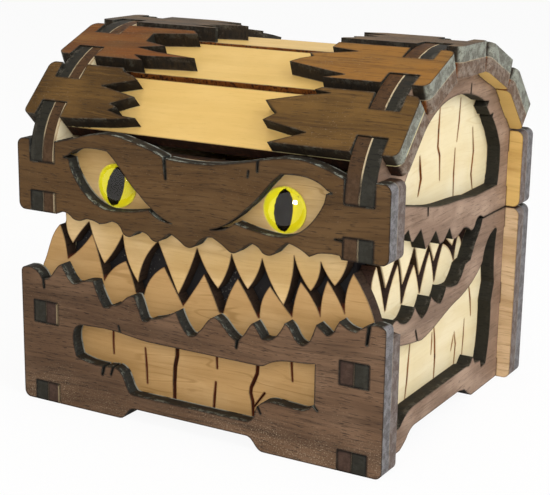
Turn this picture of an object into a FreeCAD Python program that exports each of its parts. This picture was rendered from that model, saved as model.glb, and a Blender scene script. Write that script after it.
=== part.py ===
import FreeCAD, Part
import Sketcher
import math
import os

# Toothed dice chest: a small laser-cut plywood box with a barrel lid on two butt hinges.
# Every wall and slat is two sheets thick: dark veneered ply outside, light maple ply inside.
# Lengths are millimetres.  X runs to the right of the front, Y from the front to the back,
# Z up from the floor.  The origin is on the floor, under the middle of the closed chest.

# ---------------------------------------------------------------------------
# Driving sizes, kept in a spreadsheet
# ---------------------------------------------------------------------------

SIZES = {
    "ply": (3.2, "thickness of one sheet"),
    "fit": (0.1, "clearance on each side of a tab in its slot"),
    "half_span": (44.5, "half the width of the front and rear panels"),
    "overhang": (3.4, "how far those panels pass the side walls"),
    "depth": (75.5, "front face to rear face"),
    "split": (41.35, "height of the hinge line, where lid and base part"),
    "split_gap": (0.3, "gap between lid and base at the hinge line"),
    "face_lift": (2.0, "lower edge of the lid's face above the hinge line"),
    "foot_tab": (4.5, "height of the tabs at the floor"),
    "wall_tab": (4.9, "height of the tabs half way up the base"),
    "lid_tab": (4.6, "height of the tabs at the lid's lower edge"),
    "rib_start": (12.9, "where the ribs enter the lid's face, above the hinge line"),
    "corner": (1.6, "radius of the panels' corners"),
    "barrel_foot": (18.05, "height of the barrel's lowest inner corners above the hinge line"),
    "slat_turn": (22.5, "angle in degrees between neighbouring slats"),
    "slat_gap": (0.4, "gap between the edges of neighbouring slats"),
    "rib_notch": (4.0, "depth of the notches that the ribs pass through"),
    "rib_sink": (0.3, "how far the ends of a rib's crown lie under the slats' faces"),
    "engraving": (0.4, "depth of an engraved crack"),
    "floor_lift": (3.9, "underside of the floor panel above the table"),
    "floor_tab": (8.0, "length of the floor panel's tabs"),
    "floor_tab_place": (24.0, "middle of the floor's front and rear tabs from the centre"),
    "floor_side_tab": (15.0, "middle of the floor's side tabs from the centre"),
    "felt": (1.5, "thickness of the felt on the floor"),
    "lining": (1.0, "thickness of the black lining boards"),
    "lining_gap": (0.3, "gap between the lining and the walls"),
    "lining_rise": (2.6, "top of the lining above the hinge line"),
    "eye_radius": (4.7, "radius of a glass eye"),
    "eye_height": (2.7, "height of a glass eye's dome"),
    "eye_gap": (0.08, "clearance around a glass eye in its opening"),
    "eye_rim": (0.5, "straight edge of a glass eye under its dome"),
    "eye_print": (0.2, "thickness of the printed disc behind a glass eye"),
    "eye_spread": (20.25, "middle of each eye from the centre, on the drawn chest"),
    "eye_lift": (9.43, "middle of each eye above the hinge line, on the drawn chest"),
    "hinge_place": (22.0, "middle of each hinge from the centre"),
    "hinge_half": (8.0, "half the length of a hinge"),
    "leaf": (0.8, "thickness of a hinge leaf"),
    "leaf_reach": (9.0, "far edge of a hinge leaf from the hinge line"),
    "knuckle": (1.4, "outer radius of the hinge knuckles"),
    "pin": (0.6, "radius of the hinge pins"),
    "pin_play": (0.05, "radial clearance of the pins in the knuckles"),
    "knuckle_half": (2.7, "half the length of the middle knuckle"),
    "knuckle_gap": (0.3, "gap between neighbouring knuckles"),
    "screw": (0.5, "radius of a screw's shank"),
    "screw_head": (1.1, "radius of a screw's head"),
    "screw_rise": (0.35, "height of a screw's head"),
    "screw_long": (4.6, "length of a screw under its head"),
    "screw_place": (5.6, "screws along the hinge, from the hinge's middle"),
    "screw_reach": (5.6, "screws from the hinge line"),
}

doc = FreeCAD.newDocument("dice_chest")
sheet = doc.addObject("Spreadsheet::Sheet", "sizes")
for row, (alias, (number, meaning)) in enumerate(SIZES.items(), start=1):
    sheet.set(f"A{row}", alias)
    sheet.set(f"B{row}", str(number))
    sheet.set(f"C{row}", meaning)
    sheet.setAlias(f"B{row}", alias)
doc.recompute()


class Size:
    """A size that carries both its value now and its formula in the spreadsheet."""

    def __init__(self, value, text):
        self.value = float(value)
        self.text = text

    def __float__(self):
        return self.value

    def __add__(self, other):
        other = as_size(other)
        return Size(self.value + other.value, f"({self.text} + {other.text})")

    def __sub__(self, other):
        other = as_size(other)
        return Size(self.value - other.value, f"({self.text} - {other.text})")

    def __mul__(self, number):
        number = as_size(number)
        return Size(self.value * number.value, f"({self.text} * {number.text})")

    def __truediv__(self, number):
        number = as_size(number)
        return Size(self.value / number.value, f"({self.text} / {number.text})")

    def __neg__(self):
        return Size(-self.value, f"(0 - {self.text})")


def as_size(thing):
    """Return a plain number as a Size, and a Size as it is."""
    return thing if isinstance(thing, Size) else Size(thing, repr(float(thing)))


def size(alias):
    """Return the named size from the spreadsheet."""
    return Size(sheet.get(alias), f"sizes.{alias}")


def sine(angle):
    """Return the sine of an angle in degrees, with its formula."""
    return Size(math.sin(math.radians(float(angle))), f"sin({as_size(angle).text})")


def cosine(angle):
    """Return the cosine of an angle in degrees, with its formula."""
    return Size(math.cos(math.radians(float(angle))), f"cos({as_size(angle).text})")


def tangent(angle):
    """Return the tangent of an angle in degrees, with its formula."""
    return Size(math.tan(math.radians(float(angle))), f"tan({as_size(angle).text})")


# ---------------------------------------------------------------------------
# Sizes that follow from the driving ones
# ---------------------------------------------------------------------------

PLY = size("ply")
FIT = size("fit")
WALL = PLY * 2
HALF_SPAN = size("half_span")
SIDE_OUTER = HALF_SPAN - size("overhang")
SIDE_MIDDLE = SIDE_OUTER - PLY
SIDE_INNER = SIDE_OUTER - WALL
DEPTH = size("depth")
REAR_MIDDLE = DEPTH - PLY
REAR_INNER = DEPTH - WALL
SPLIT = size("split")
BASE_TOP = SPLIT - size("split_gap") / 2
LID_BOTTOM = SPLIT + size("split_gap") / 2
FACE_BOTTOM = SPLIT + size("face_lift")
RIB_START = SPLIT + size("rib_start")
WALL_TAB_LOW = (SPLIT - size("wall_tab")) / 2
WALL_TAB_HIGH = WALL_TAB_LOW + size("wall_tab")
REAR_TAB_LOW = BASE_TOP - size("lid_tab")
# The slats' inner faces are five sides of a polygon that springs from the walls' inner faces.
TURN = size("slat_turn")
BARREL_IN = (REAR_INNER - WALL) * cosine(TURN / 2) / (sine(TURN * 2.5) * 2)
BARREL = BARREL_IN + WALL
BARREL_BACK = DEPTH / 2
BARREL_UP = SPLIT + size("barrel_foot") - BARREL_IN * cosine(TURN * 2.5) / cosine(TURN / 2)
SLAT = BARREL_IN * tangent(TURN / 2) * 2 - size("slat_gap")
NOTCH_FROM = SLAT / 2 - size("rib_notch")
HINGE_BACK = DEPTH + size("knuckle")
# The hinge knuckles are the rearmost pieces, so the chest's middle lies a knuckle behind its own.
MIDDLE = (DEPTH + size("knuckle") * 2) / 2
FLOOR_TOP = size("floor_lift") + PLY
LINING_TOP = SPLIT + size("lining_rise")
LINING_X = SIDE_INNER - size("lining_gap")
LINING_FRONT = WALL + size("lining_gap")
LINING_REAR = REAR_INNER - size("lining_gap")

# ---------------------------------------------------------------------------
# Decorative outlines.  They are drawn on a reference chest and stretched to the real one.
# An outline is a list of corners; a list inside it is a smooth run between two corners.
# ---------------------------------------------------------------------------

DRAWN_CLEAR = 34.7      # half the clear width between the side walls
DRAWN_SPAN = 44.5       # half the width of the panels
DRAWN_WALL = 6.4        # thickness of a two-sheet wall
DRAWN_DEPTH = 75.5      # front face to rear face
DRAWN_SPLIT = 41.35     # height of the hinge line
DRAWN_FOOT = 59.4       # height of the barrel's lowest inner corners
DRAWN_BARREL = 36.981   # inradius of the barrel
DRAWN_SLAT = 14.312     # width of a slat
DRAWN_THROAT = 34.4     # half the width of the lid panels' free edges, between the side walls
DRAWN_LIGHT_TOP = 58.4  # top of the lid's light panels, under the slats
DRAWN_SHOULDER = 59.1   # top of the lid panels' ends, outside the side walls
DRAWN_BASE_REST = 55.4  # where the base sides' top edge starts to be straight
DRAWN_LID_REST = 55.8   # where the lid sides' lower edge starts to be straight

# The eyes keep their place in their openings, which stretch with the face.
EYE_X = size("eye_spread") * SIDE_INNER / DRAWN_CLEAR
EYE_UP = SPLIT + size("eye_lift") * size("barrel_foot") / (DRAWN_FOOT - DRAWN_SPLIT)


def across(x):
    """Stretch a drawn distance from the centre line to the real chest."""
    reach = abs(x)
    if reach <= DRAWN_CLEAR:
        real = reach * float(SIDE_INNER) / DRAWN_CLEAR
    else:
        ends = (float(HALF_SPAN) - float(SIDE_INNER)) / (DRAWN_SPAN - DRAWN_CLEAR)
        real = float(SIDE_INNER) + (reach - DRAWN_CLEAR) * ends
    return math.copysign(real, x)


def back(y):
    """Stretch a drawn distance from the front face to the real chest."""
    wall = float(WALL) / DRAWN_WALL
    if y <= DRAWN_WALL:
        return y * wall
    if y >= DRAWN_DEPTH - DRAWN_WALL:
        return float(DEPTH) - (DRAWN_DEPTH - y) * wall
    inner = (float(REAR_INNER) - float(WALL)) / (DRAWN_DEPTH - 2 * DRAWN_WALL)
    return float(WALL) + (y - DRAWN_WALL) * inner


def up(z):
    """Stretch a drawn height to the real chest."""
    foot = float(size("barrel_foot"))
    if z <= DRAWN_SPLIT:
        return z * float(SPLIT) / DRAWN_SPLIT
    if z <= DRAWN_FOOT:
        return float(SPLIT) + (z - DRAWN_SPLIT) * foot / (DRAWN_FOOT - DRAWN_SPLIT)
    return float(SPLIT) + foot + (z - DRAWN_FOOT) * float(BARREL_IN) / DRAWN_BARREL


def along_slat(v):
    """Stretch a drawn distance from a slat's centre line to the real slat."""
    return v * float(SLAT) / DRAWN_SLAT


def stretch(outline, first, second):
    """Return an outline with its two coordinates stretched by two functions."""
    real = []
    for item in outline:
        if isinstance(item, list):
            real.append([(first(a), second(b)) for a, b in item])
        else:
            real.append((first(item[0]), second(item[1])))
    return real


def on_front(outline):
    """Stretch an outline drawn on the front or rear walls."""
    return stretch(outline, across, up)


def on_side(outline):
    """Stretch an outline drawn on the side walls."""
    return stretch(outline, back, up)


def on_slat(outline):
    """Stretch an outline drawn on a slat."""
    return stretch(outline, across, along_slat)


def mirrored(outline):
    """Return an outline mirrored about the vertical axis and run the other way."""
    flipped = []
    for item in reversed(outline):
        if isinstance(item, list):
            flipped.append([(-a, b) for a, b in reversed(item)])
        else:
            flipped.append((-item[0], item[1]))
    return flipped


def crack(points, width, from_edge=False, end=0.7):
    """Return a narrow loop around a line.

    Its free ends are narrower than its middle by the share `end`; it keeps its full width at its
    start if from_edge is set.
    """
    left, right = [], []
    for i, (a, b) in enumerate(points):
        before = points[max(i - 1, 0)]
        after = points[min(i + 1, len(points) - 1)]
        run = math.hypot(after[0] - before[0], after[1] - before[1])
        free = i == len(points) - 1 or (i == 0 and not from_edge)
        half = width / 2 * (end if free else 1)
        across_a = -(after[1] - before[1]) / run * half
        across_b = (after[0] - before[0]) / run * half
        left.append((a + across_a, b + across_b))
        right.append((a - across_a, b - across_b))
    return left + right[::-1]


# The lower lip: top edge of the base's dark front, left to right.
LOWER_LIP = [
    (-44.5, 29.2), [(-44.1, 30.1)], (-43.2, 30.4), [(-40.6, 30.1)], (-38.9, 28.3), (-38.0, 28.3),
    [(-36.4, 29.2), (-35.0, 31.0)], (-33.5, 32.3), [(-32.4, 30.6), (-31.4, 29.2)], (-30.3, 28.4),
    [(-29.3, 28.6)], (-28.3, 29.1), [(-26.6, 29.6)], (-24.9, 29.7), [(-24.2, 27.9), (-23.3, 26.1)],
    (-22.2, 24.4), [(-21.2, 24.5)], (-20.1, 25.3), [(-17.9, 26.0), (-16.4, 27.4)], (-14.3, 28.1),
    [(-13.5, 26.6), (-12.9, 24.9)], (-12.2, 23.2), [(-11.2, 23.1)], (-10.2, 23.8),
    [(-7.9, 24.4), (-5.8, 25.3)], (-3.7, 26.6), [(-2.9, 24.8), (-1.9, 23.2)], (-0.7, 21.9),
    [(0.7, 22.0)], (1.8, 23.2), [(3.0, 24.4), (4.2, 26.0)], (5.8, 27.0), [(7.3, 26.0), (9.0, 24.2)],
    (10.7, 23.0), [(11.5, 23.1)], (12.2, 23.9), [(13.2, 25.1), (14.0, 26.4)], (14.9, 27.3),
    [(15.8, 26.2)], (17.0, 24.3), [(18.3, 24.3)], (20.0, 25.2), [(21.1, 26.5)], (22.2, 28.5),
    [(23.4, 27.6), (24.4, 26.0)], (26.3, 24.6), [(27.3, 25.2)], (28.2, 26.4), [(28.8, 28.0)],
    (29.3, 29.4), [(30.3, 28.7)], (31.7, 27.6), [(32.6, 28.0)], (33.3, 29.0), [(33.8, 30.0)],
    (34.4, 31.0), [(35.9, 29.9)], (38.0, 29.4), [(39.4, 30.5)], (41.0, 31.2), [(42.2, 31.5)],
    (43.4, 31.3), [(44.2, 31.0)], (44.5, 30.2),
]

# The arch between the front feet, right to left.
FRONT_ARCH = [
    (17.6, 0.0), [(16.0, 0.8), (15.0, 2.0)], (13.2, 2.8), (-14.2, 2.8), [(-15.9, 2.1), (-16.9, 0.8)],
    (-18.6, 0.0),
]

# The window in the base's dark front.
FRONT_WINDOW = [
    (-28.2, 19.4), [(-30.2, 18.0), (-30.5, 15.0)], (-29.8, 12.0), [(-27.2, 11.3)], (-23.4, 11.0),
    (-20.9, 11.2), [(-19.4, 11.3), (-17.8, 10.3), (-16.8, 8.4)], (-15.6, 6.2), [(-15.2, 6.0)],
    (-14.4, 5.9), (13.4, 5.9), [(14.8, 6.6)], (15.5, 8.3), (16.1, 9.9), (17.4, 10.8),
    [(18.8, 11.2)], (20.2, 11.2), (26.2, 10.9), [(27.8, 11.5)], (29.2, 13.0), (29.2, 21.3),
    [(25.0, 20.8), (21.0, 20.3)], (18.2, 19.1), [(17.2, 18.6)], (16.0, 18.5), (-9.0, 18.6),
    [(-14.0, 18.9), (-19.0, 19.5)], (-23.5, 19.6),
]

FRONT_DARK_CRACKS = [
    ([(-38.5, 28.6), (-38.3, 26.1)], 0.6, True),
    ([(-18.4, 21.0), (-18.0, 19.5)], 0.5, False),
    ([(-22.3, 11.4), (-22.9, 8.9)], 0.7, True),
    ([(-19.9, 11.6), (-20.6, 9.3)], 0.5, True),
    ([(11.3, 23.4), (11.0, 21.2)], 0.7, True),
    ([(40.9, 31.6), (40.4, 27.1)], 0.7, True),
    ([(28.3, 13.3), (30.1, 11.5)], 0.5, True),
    ([(15.6, 10.9), (17.0, 8.2)], 0.45, True),
]

# The lower teeth: top edge of the base's light front, left to right.
LOWER_TEETH = [
    (-44.5, 28.0), (-41.2, 28.4), (-40.9, 30.6), [(-39.6, 33.6), (-38.2, 37.2)], (-36.0, 40.2),
    [(-35.0, 37.6)], (-34.1, 32.7), [(-31.4, 34.8)], (-27.3, 39.3), [(-25.8, 35.0)], (-24.3, 29.2),
    [(-21.6, 32.6)], (-18.5, 34.5), [(-17.2, 31.6)], (-16.0, 27.9), (-13.9, 27.8),
    [(-12.0, 31.8)], (-8.7, 34.7), [(-6.5, 31.0)], (-4.0, 26.9), [(-1.4, 30.6)], (1.2, 34.6),
    [(3.1, 31.0)], (4.9, 27.0), (5.9, 27.0), [(7.2, 31.0)], (9.3, 34.9), [(12.0, 31.1)],
    (14.2, 27.4), (14.6, 27.5), [(15.1, 31.2)], (16.9, 34.5), [(19.6, 31.5)], (22.1, 28.9),
    [(22.7, 32.8)], (23.9, 36.5), [(26.4, 33.8)], (28.5, 30.0), [(28.8, 34.0)], (29.9, 37.7),
    [(32.2, 34.6)], (33.9, 31.5), [(34.1, 36.0)], (35.5, 40.0), [(38.1, 36.2)], (40.6, 30.4),
    (40.9, 29.0), (44.5, 28.4),
]

FRONT_LIGHT_CRACKS = [
    ([(-22.1, 20.4), (-22.1, 16.0), (-22.0, 13.0)], 0.45, True),
    ([(-13.7, 16.0), (-13.4, 12.1), (-13.2, 7.9)], 0.5, False),
    ([(-5.4, 20.0), (-5.5, 15.6), (-6.0, 13.2), (-6.2, 9.6), (-6.1, 3.4)], 0.9, True),
    ([(4.3, 20.0), (4.5, 14.6)], 0.55, True),
    ([(4.2, 11.8), (3.9, 8.4), (3.6, 3.6)], 0.6, False),
    ([(14.4, 20.0), (14.2, 15.5), (13.6, 14.0), (12.8, 12.2), (12.7, 10.9), (13.2, 9.2),
      (13.4, 5.8)], 0.75, True),
    ([(22.1, 20.6), (22.5, 15.3)], 0.5, True),
]

# A short branch of the last long crack but one.
FRONT_LIGHT_FORK = [
    ([(16.1, 11.7), (13.4, 7.9)], 0.45, True),
]

# The upper lip: lower edge of the lid's dark face, right to left between the tab slots.
UPPER_LIP = [
    (34.0, 44.1), [(31.2, 44.1)], (29.3, 43.8), (27.4, 42.9), [(24.9, 44.3)], (22.5, 45.0),
    [(20.9, 43.7)], (19.6, 42.3), [(18.2, 41.8)], (16.8, 42.2), [(15.4, 43.4)], (14.2, 43.7),
    [(12.6, 42.6)], (11.0, 41.4), [(10.0, 41.1)], (9.0, 41.4), [(7.0, 42.7)], (5.2, 43.6),
    [(3.2, 43.2)], (1.4, 41.7), [(-0.4, 40.7)], (-1.8, 41.1), [(-3.6, 42.3)], (-5.1, 43.0),
    [(-6.4, 42.1)], (-7.7, 41.1), [(-8.9, 40.8)], (-10.0, 41.4), [(-12.2, 42.4)], (-14.0, 41.7),
    [(-15.9, 40.9)], (-17.2, 41.9), [(-18.6, 43.4)], (-19.8, 43.6), [(-21.6, 42.9)], (-23.0, 42.6),
    [(-25.0, 43.2)], (-26.8, 43.2), [(-28.6, 42.6)], (-30.2, 43.0), [(-32.0, 44.0)], (-34.0, 43.5),
]

# The brow: top edge of the lid's dark face, left to right between the rib notches.
BROW = [
    (-34.4, 59.0), [(-29.0, 60.5), (-24.0, 61.7), (-19.5, 62.0), (-14.0, 61.0), (-9.0, 59.6)],
    (-6.4, 58.6), [(0.0, 58.3), (8.0, 59.0), (14.0, 60.2), (19.5, 61.4), (24.5, 61.8), (30.0, 60.8)],
    (34.4, 59.2),
]

# One eye's opening in the lid's dark face, on the right; the left one is its mirror.
EYE_OPENING = [
    (32.3, 56.0), (30.9, 56.5), [(28.6, 57.9), (25.0, 58.6)], (20.8, 58.4), [(18.8, 56.6), (16.1, 53.5)],
    (12.8, 50.3), [(11.2, 48.8)], (9.7, 47.7), [(7.2, 46.1)], (4.5, 45.2), [(7.4, 45.6)], (10.4, 47.3),
    [(13.5, 46.6), (17.0, 46.1), (21.5, 46.05), (25.4, 47.7), (28.3, 50.5)], (30.4, 54.0), (30.8, 55.8),
]

FACE_CRACKS = [
    ([(-6.5, 58.9), (-6.1, 54.2)], 0.7, True),
    ([(15.6, 61.0), (15.5, 58.2)], 0.5, True),
    ([(13.5, 58.4), (13.3, 56.9)], 0.4, False),
    ([(34.9, 47.1), (32.8, 47.2)], 0.4, True),
]

# The upper teeth: lower edge of the lid's light face, right to left between the side walls.
UPPER_TEETH = [
    (34.2, 42.2), [(33.2, 39.4)], (31.5, 36.9), [(29.9, 38.7)], (28.3, 41.4), [(27.9, 38.2)],
    (26.2, 35.0), [(24.1, 37.6)], (22.3, 41.8), [(21.7, 36.0)], (20.1, 31.1), [(17.4, 34.8)],
    (15.0, 40.1), [(13.9, 36.6)], (11.7, 33.1), [(9.6, 36.0)], (7.8, 40.0), [(6.8, 36.2)],
    (4.6, 32.1), [(2.0, 35.2)], (-0.5, 40.0), [(-2.4, 35.0)], (-5.2, 29.3), [(-7.6, 34.4)],
    (-10.2, 40.0), [(-12.4, 37.6)], (-15.4, 30.3), [(-18.2, 35.2)], (-19.2, 40.4), [(-21.4, 36.6)],
    (-24.2, 33.1), [(-26.4, 37.2)], (-28.1, 41.9), [(-30.4, 39.4)], (-32.6, 36.5), [(-33.9, 38.6)],
    (-34.3, 41.8),
]

# The mouth on the base's dark side, front to back.
SIDE_LOWER_LIP = [
    (6.4, 29.3), [(9.0, 28.4), (11.4, 29.2)], (12.4, 28.9), [(15.0, 27.6), (17.6, 27.5)], (20.5, 29.7),
    [(21.8, 28.2)], (24.2, 26.3), [(26.4, 27.1)], (28.6, 29.9), [(30.8, 28.3)], (33.6, 27.2),
    [(35.2, 28.4)], (36.3, 30.2), [(39.4, 29.4)], (42.6, 29.2), [(44.2, 30.2)], (46.4, 32.7),
    [(48.0, 33.0)], (49.4, 33.2), [(50.8, 35.2)], (52.2, 37.0), [(54.0, 38.8)],
]

SIDE_ARCH = [
    (54.0, 0.0), [(51.8, 1.2)], (49.8, 2.6), (46.4, 3.3), (23.6, 3.4), [(20.6, 2.9)], (18.8, 1.6),
    [(17.4, 0.8)], (15.6, 0.0),
]

BASE_SIDE_WINDOW = [
    (10.0, 5.6), [(12.4, 5.2)], (15.4, 5.3), [(18.4, 7.2)], (22.2, 7.9), (50.0, 8.0), (52.0, 7.6),
    (54.0, 9.2), (55.3, 7.4), (58.6, 7.0), (59.2, 5.2), (61.9, 5.3), [(62.8, 9.0)], (63.2, 20.0),
    (64.6, 24.2), [(63.9, 28.0)], (64.6, 36.8), [(63.6, 37.4)], (62.6, 37.1), [(58.6, 34.8)],
    (56.8, 31.0), [(53.6, 28.8), (50.0, 27.2)], (44.0, 25.6), [(36.0, 24.0), (30.0, 22.4)],
    (24.5, 21.5), [(19.0, 22.3)], (10.0, 24.0),
]

SIDE_DARK_CRACKS = [
    ([(21.2, 24.6), (22.6, 21.4)], 0.7, False),
]

# The mouth on the lid's dark side, back to front.
SIDE_UPPER_LIP = [
    (54.6, 42.0), [(52.8, 42.1)], (51.4, 41.2), [(50.0, 39.9)], (48.6, 40.0), [(46.6, 41.0)],
    (44.4, 41.3), [(42.2, 40.4)], (40.4, 39.9), (38.6, 40.1), (36.8, 42.9), (33.8, 40.6), (31.9, 40.5),
    (29.5, 43.8), (26.2, 41.6), (24.6, 41.0), (21.9, 45.7), (18.2, 43.9), (17.3, 44.2), (15.8, 46.8),
    (12.6, 45.7), (10.4, 44.4), (9.0, 45.6), (6.4, 44.6),
]

LID_SIDE_WINDOW = [
    (10.4, 52.6), [(20.0, 50.8), (31.0, 48.8), (40.0, 48.2)], (50.0, 47.3), (63.2, 47.5),
    [(63.9, 51.6)], (63.7, 56.2), [(61.4, 60.0)], (58.0, 63.6), (58.5, 64.5), (56.6, 64.3),
    [(55.6, 65.3)], (54.4, 66.3), (55.6, 67.5), (52.8, 67.9), [(45.0, 70.3), (36.0, 70.9), (27.0, 68.8)],
    (19.6, 63.4), [(13.8, 57.6)],
]

SIDE_LID_DARK_CRACKS = [
    ([(44.9, 70.2), (45.1, 72.6)], 0.5, True),
    ([(25.0, 49.9), (25.1, 47.8)], 0.6, True),
]

# The lower teeth on the side, front to back, on the base's light side.
SIDE_LOWER_TEETH = [
    (6.4, 36.2), [(7.2, 39.2)], (8.4, 40.5), [(10.8, 35.4)], (12.8, 30.2), (13.3, 30.4),
    [(15.2, 34.8)], (18.3, 38.6), [(19.6, 34.4)], (20.4, 29.8), (21.2, 29.9), [(23.6, 34.0)],
    (26.3, 36.8), [(28.0, 33.6)], (29.4, 29.8), (29.9, 30.0), [(32.0, 34.6)], (34.0, 37.9),
    [(35.6, 34.6)], (36.8, 30.6), (37.4, 30.9), [(39.0, 34.8)], (41.0, 38.1), [(44.6, 36.2)],
    (47.2, 33.0), (47.7, 33.1), [(48.2, 36.0)], (49.4, 38.2), [(50.4, 37.6)], (51.4, 35.6),
    [(53.2, 37.6)],
]

# The upper teeth on the side, back to front, on the lid's light side.
SIDE_UPPER_TEETH = [
    (55.6, 41.9), (50.0, 41.9), [(48.4, 39.6)], (46.3, 36.6), [(43.6, 38.4)], (40.8, 40.2),
    [(38.9, 38.2)], (36.5, 35.3), [(35.2, 37.6)], (33.6, 39.9), [(31.6, 37.4)], (29.0, 34.0),
    [(27.8, 37.4)], (26.2, 41.0), [(23.8, 37.4)], (20.8, 33.9), [(19.8, 37.6)], (18.0, 41.4),
    [(15.6, 38.4)], (12.9, 35.1), [(11.6, 37.8)], (9.8, 41.2), (6.4, 42.2),
]

BASE_SIDE_ENGRAVING = [
    ([(25.9, 20.4), (25.3, 15.5), (25.0, 12.0), (24.2, 7.6)], 0.55),
    ([(38.0, 21.0), (38.9, 17.0), (39.4, 13.0), (39.2, 6.8)], 0.6),
    ([(37.3, 19.2), (37.4, 17.0), (37.2, 14.0)], 0.4),
    ([(49.8, 15.8), (50.9, 12.6), (50.3, 6.9)], 0.5),
    ([(49.5, 15.2), (48.9, 13.2), (48.3, 11.6)], 0.4),
    ([(55.5, 17.4), (55.4, 13.0), (55.0, 8.6)], 0.45),
    ([(56.9, 25.6), (58.4, 21.5), (59.3, 17.0)], 0.6),
    ([(15.6, 21.4), (15.2, 16.0), (15.9, 10.0)], 0.5),
]

LID_SIDE_ENGRAVING = [
    ([(27.0, 59.6), (27.4, 57.0), (28.0, 54.6), (26.8, 51.2)], 0.9),
    ([(36.4, 68.4), (36.1, 64.4), (36.0, 60.0), (37.2, 58.0), (37.7, 52.6)], 0.6),
    ([(47.3, 69.0), (46.9, 64.0), (46.1, 59.6)], 0.5),
    ([(45.4, 58.4), (45.2, 53.0), (45.5, 46.4)], 0.55),
    ([(54.8, 61.6), (55.9, 56.0), (55.1, 51.0), (56.3, 47.4)], 0.6),
    ([(18.2, 56.0), (18.6, 53.6), (18.0, 50.6)], 0.5),
]

REAR_CRACKS = [
    ([(-26.0, 37.6), (-25.2, 33.0), (-25.8, 28.6)], 0.6),
    ([(-10.4, 12.6), (-9.8, 8.2), (-10.6, 4.6)], 0.5),
    ([(14.0, 36.0), (14.8, 30.6), (14.2, 26.4), (14.9, 22.6)], 0.6),
    ([(24.6, 15.4), (24.0, 10.8), (24.8, 6.0)], 0.5),
    ([(1.6, 30.2), (1.0, 25.8), (1.8, 21.4)], 0.45),
]

# Splintered inner ends of the dark slats, from the upper edge to the lower one.  One entry a slat,
# from the front of the barrel to its crown; the back half repeats them turned round.
LEFT_SPLINTERS = {
    2: [(-25.0, 7.156), (-24.6, 6.3), (-21.6, 5.3), (-20.0, 4.3), (-28.2, 2.0), (-18.7, 0.0), (-23.8, -2.3),
        (-21.8, -3.0), (-23.5, -4.0), (-19.8, -5.0), (-15.9, -5.2), (-21.2, -6.2), (-26.0, -6.7),
        (-31.5, -7.156)],
    1: [(-17.2, 7.156), (-15.5, 5.7), (-26.3, 4.4), (-26.0, 1.0), (-20.2, -0.4), (-26.4, -1.9),
        (-20.6, -3.2), (-10.2, -4.4), (-22.3, -5.3), (-25.2, -5.1), (-21.9, -7.156)],
    0: [(-22.0, 7.156), (-14.5, 5.2), (-20.0, 3.4), (-9.8, 0.6), (-19.0, -1.6), (-16.0, -3.0), (-21.0, -4.6),
        (-13.4, -6.4), (-13.6, -7.156)],
}
RIGHT_SPLINTERS = {
    2: [(23.0, 7.156), (21.6, 6.4), (25.4, 5.9), (20.4, 5.0), (11.9, 2.7), (15.6, -0.1), (13.2, -2.0),
        (23.8, -3.9), (16.4, -7.156)],
    1: [(18.4, 7.156), (18.0, 5.0), (24.3, 4.0), (19.0, 2.8), (14.2, 2.0), (15.7, 0.7), (13.2, -0.6),
        (11.6, -2.2), (25.9, -5.4), (21.6, -7.156)],
    0: [(21.0, 7.156), (16.5, 5.4), (24.0, 3.4), (18.6, 1.6), (23.0, -0.6), (18.2, -2.8), (19.5, -4.6),
        (17.4, -6.2), (17.4, -7.156)],
}
SLATS = {1: 2, 2: 1, 3: 0, 4: -1, 5: -2}    # slat number: turns from the crown, front ones positive

# ---------------------------------------------------------------------------
# Sketches and bodies
# ---------------------------------------------------------------------------


def curves(outline):
    """Return the closed chain of lines, arcs and splines that an outline describes."""
    chain = []
    corners = [i for i, item in enumerate(outline) if not isinstance(item, list)]
    for place, i in enumerate(corners):
        start = FreeCAD.Vector(*outline[i], 0)
        j = corners[(place + 1) % len(corners)]
        end = FreeCAD.Vector(*outline[j], 0)
        run = outline[(i + 1) % len(outline)]
        if not isinstance(run, list):
            chain.append(Part.LineSegment(start, end))
        elif len(run) == 1:
            chain.append(Part.Arc(start, FreeCAD.Vector(*run[0], 0), end))
        else:
            spline = Part.BSplineCurve()
            spline.interpolate([start] + [FreeCAD.Vector(a, b, 0) for a, b in run] + [end])
            chain.append(spline)
    return chain


def join_ends(sketch, ids):
    """Make each curve of a closed chain meet the next one."""
    links = []
    for this, following in zip(ids, ids[1:] + ids[:1]):
        ends = [(sketch.getPoint(this, i), sketch.getPoint(following, j), i, j)
                for i in (1, 2) for j in (1, 2)]
        gap, i, j = min((a.distanceToPoint(b), i, j) for a, b, i, j in ends)
        links.append(Sketcher.Constraint("Coincident", this, i, following, j))
    sketch.addConstraint(links)


def new_sketch(body, name, plane, lift=None):
    """Start a sketch on one of the body's own planes, lifted along its normal."""
    sketch = body.newObject("Sketcher::SketchObject", name)
    origin = [f for f in body.Origin.OriginFeatures if f.Role == plane][0]
    sketch.AttachmentSupport = [(origin, "")]
    sketch.MapMode = "FlatFace"
    if lift is not None:
        bind(sketch, "AttachmentOffset.Base.z", lift)
    return sketch


def bind(thing, path, amount):
    """Tie a property to the spreadsheet."""
    thing.setExpression(path, as_size(amount).text)


def draw(sketch, loops):
    """Draw closed outlines in a sketch."""
    for loop in loops:
        ids = [sketch.addGeometry(curve, False) for curve in curves(loop)]
        join_ends(sketch, ids)


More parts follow.
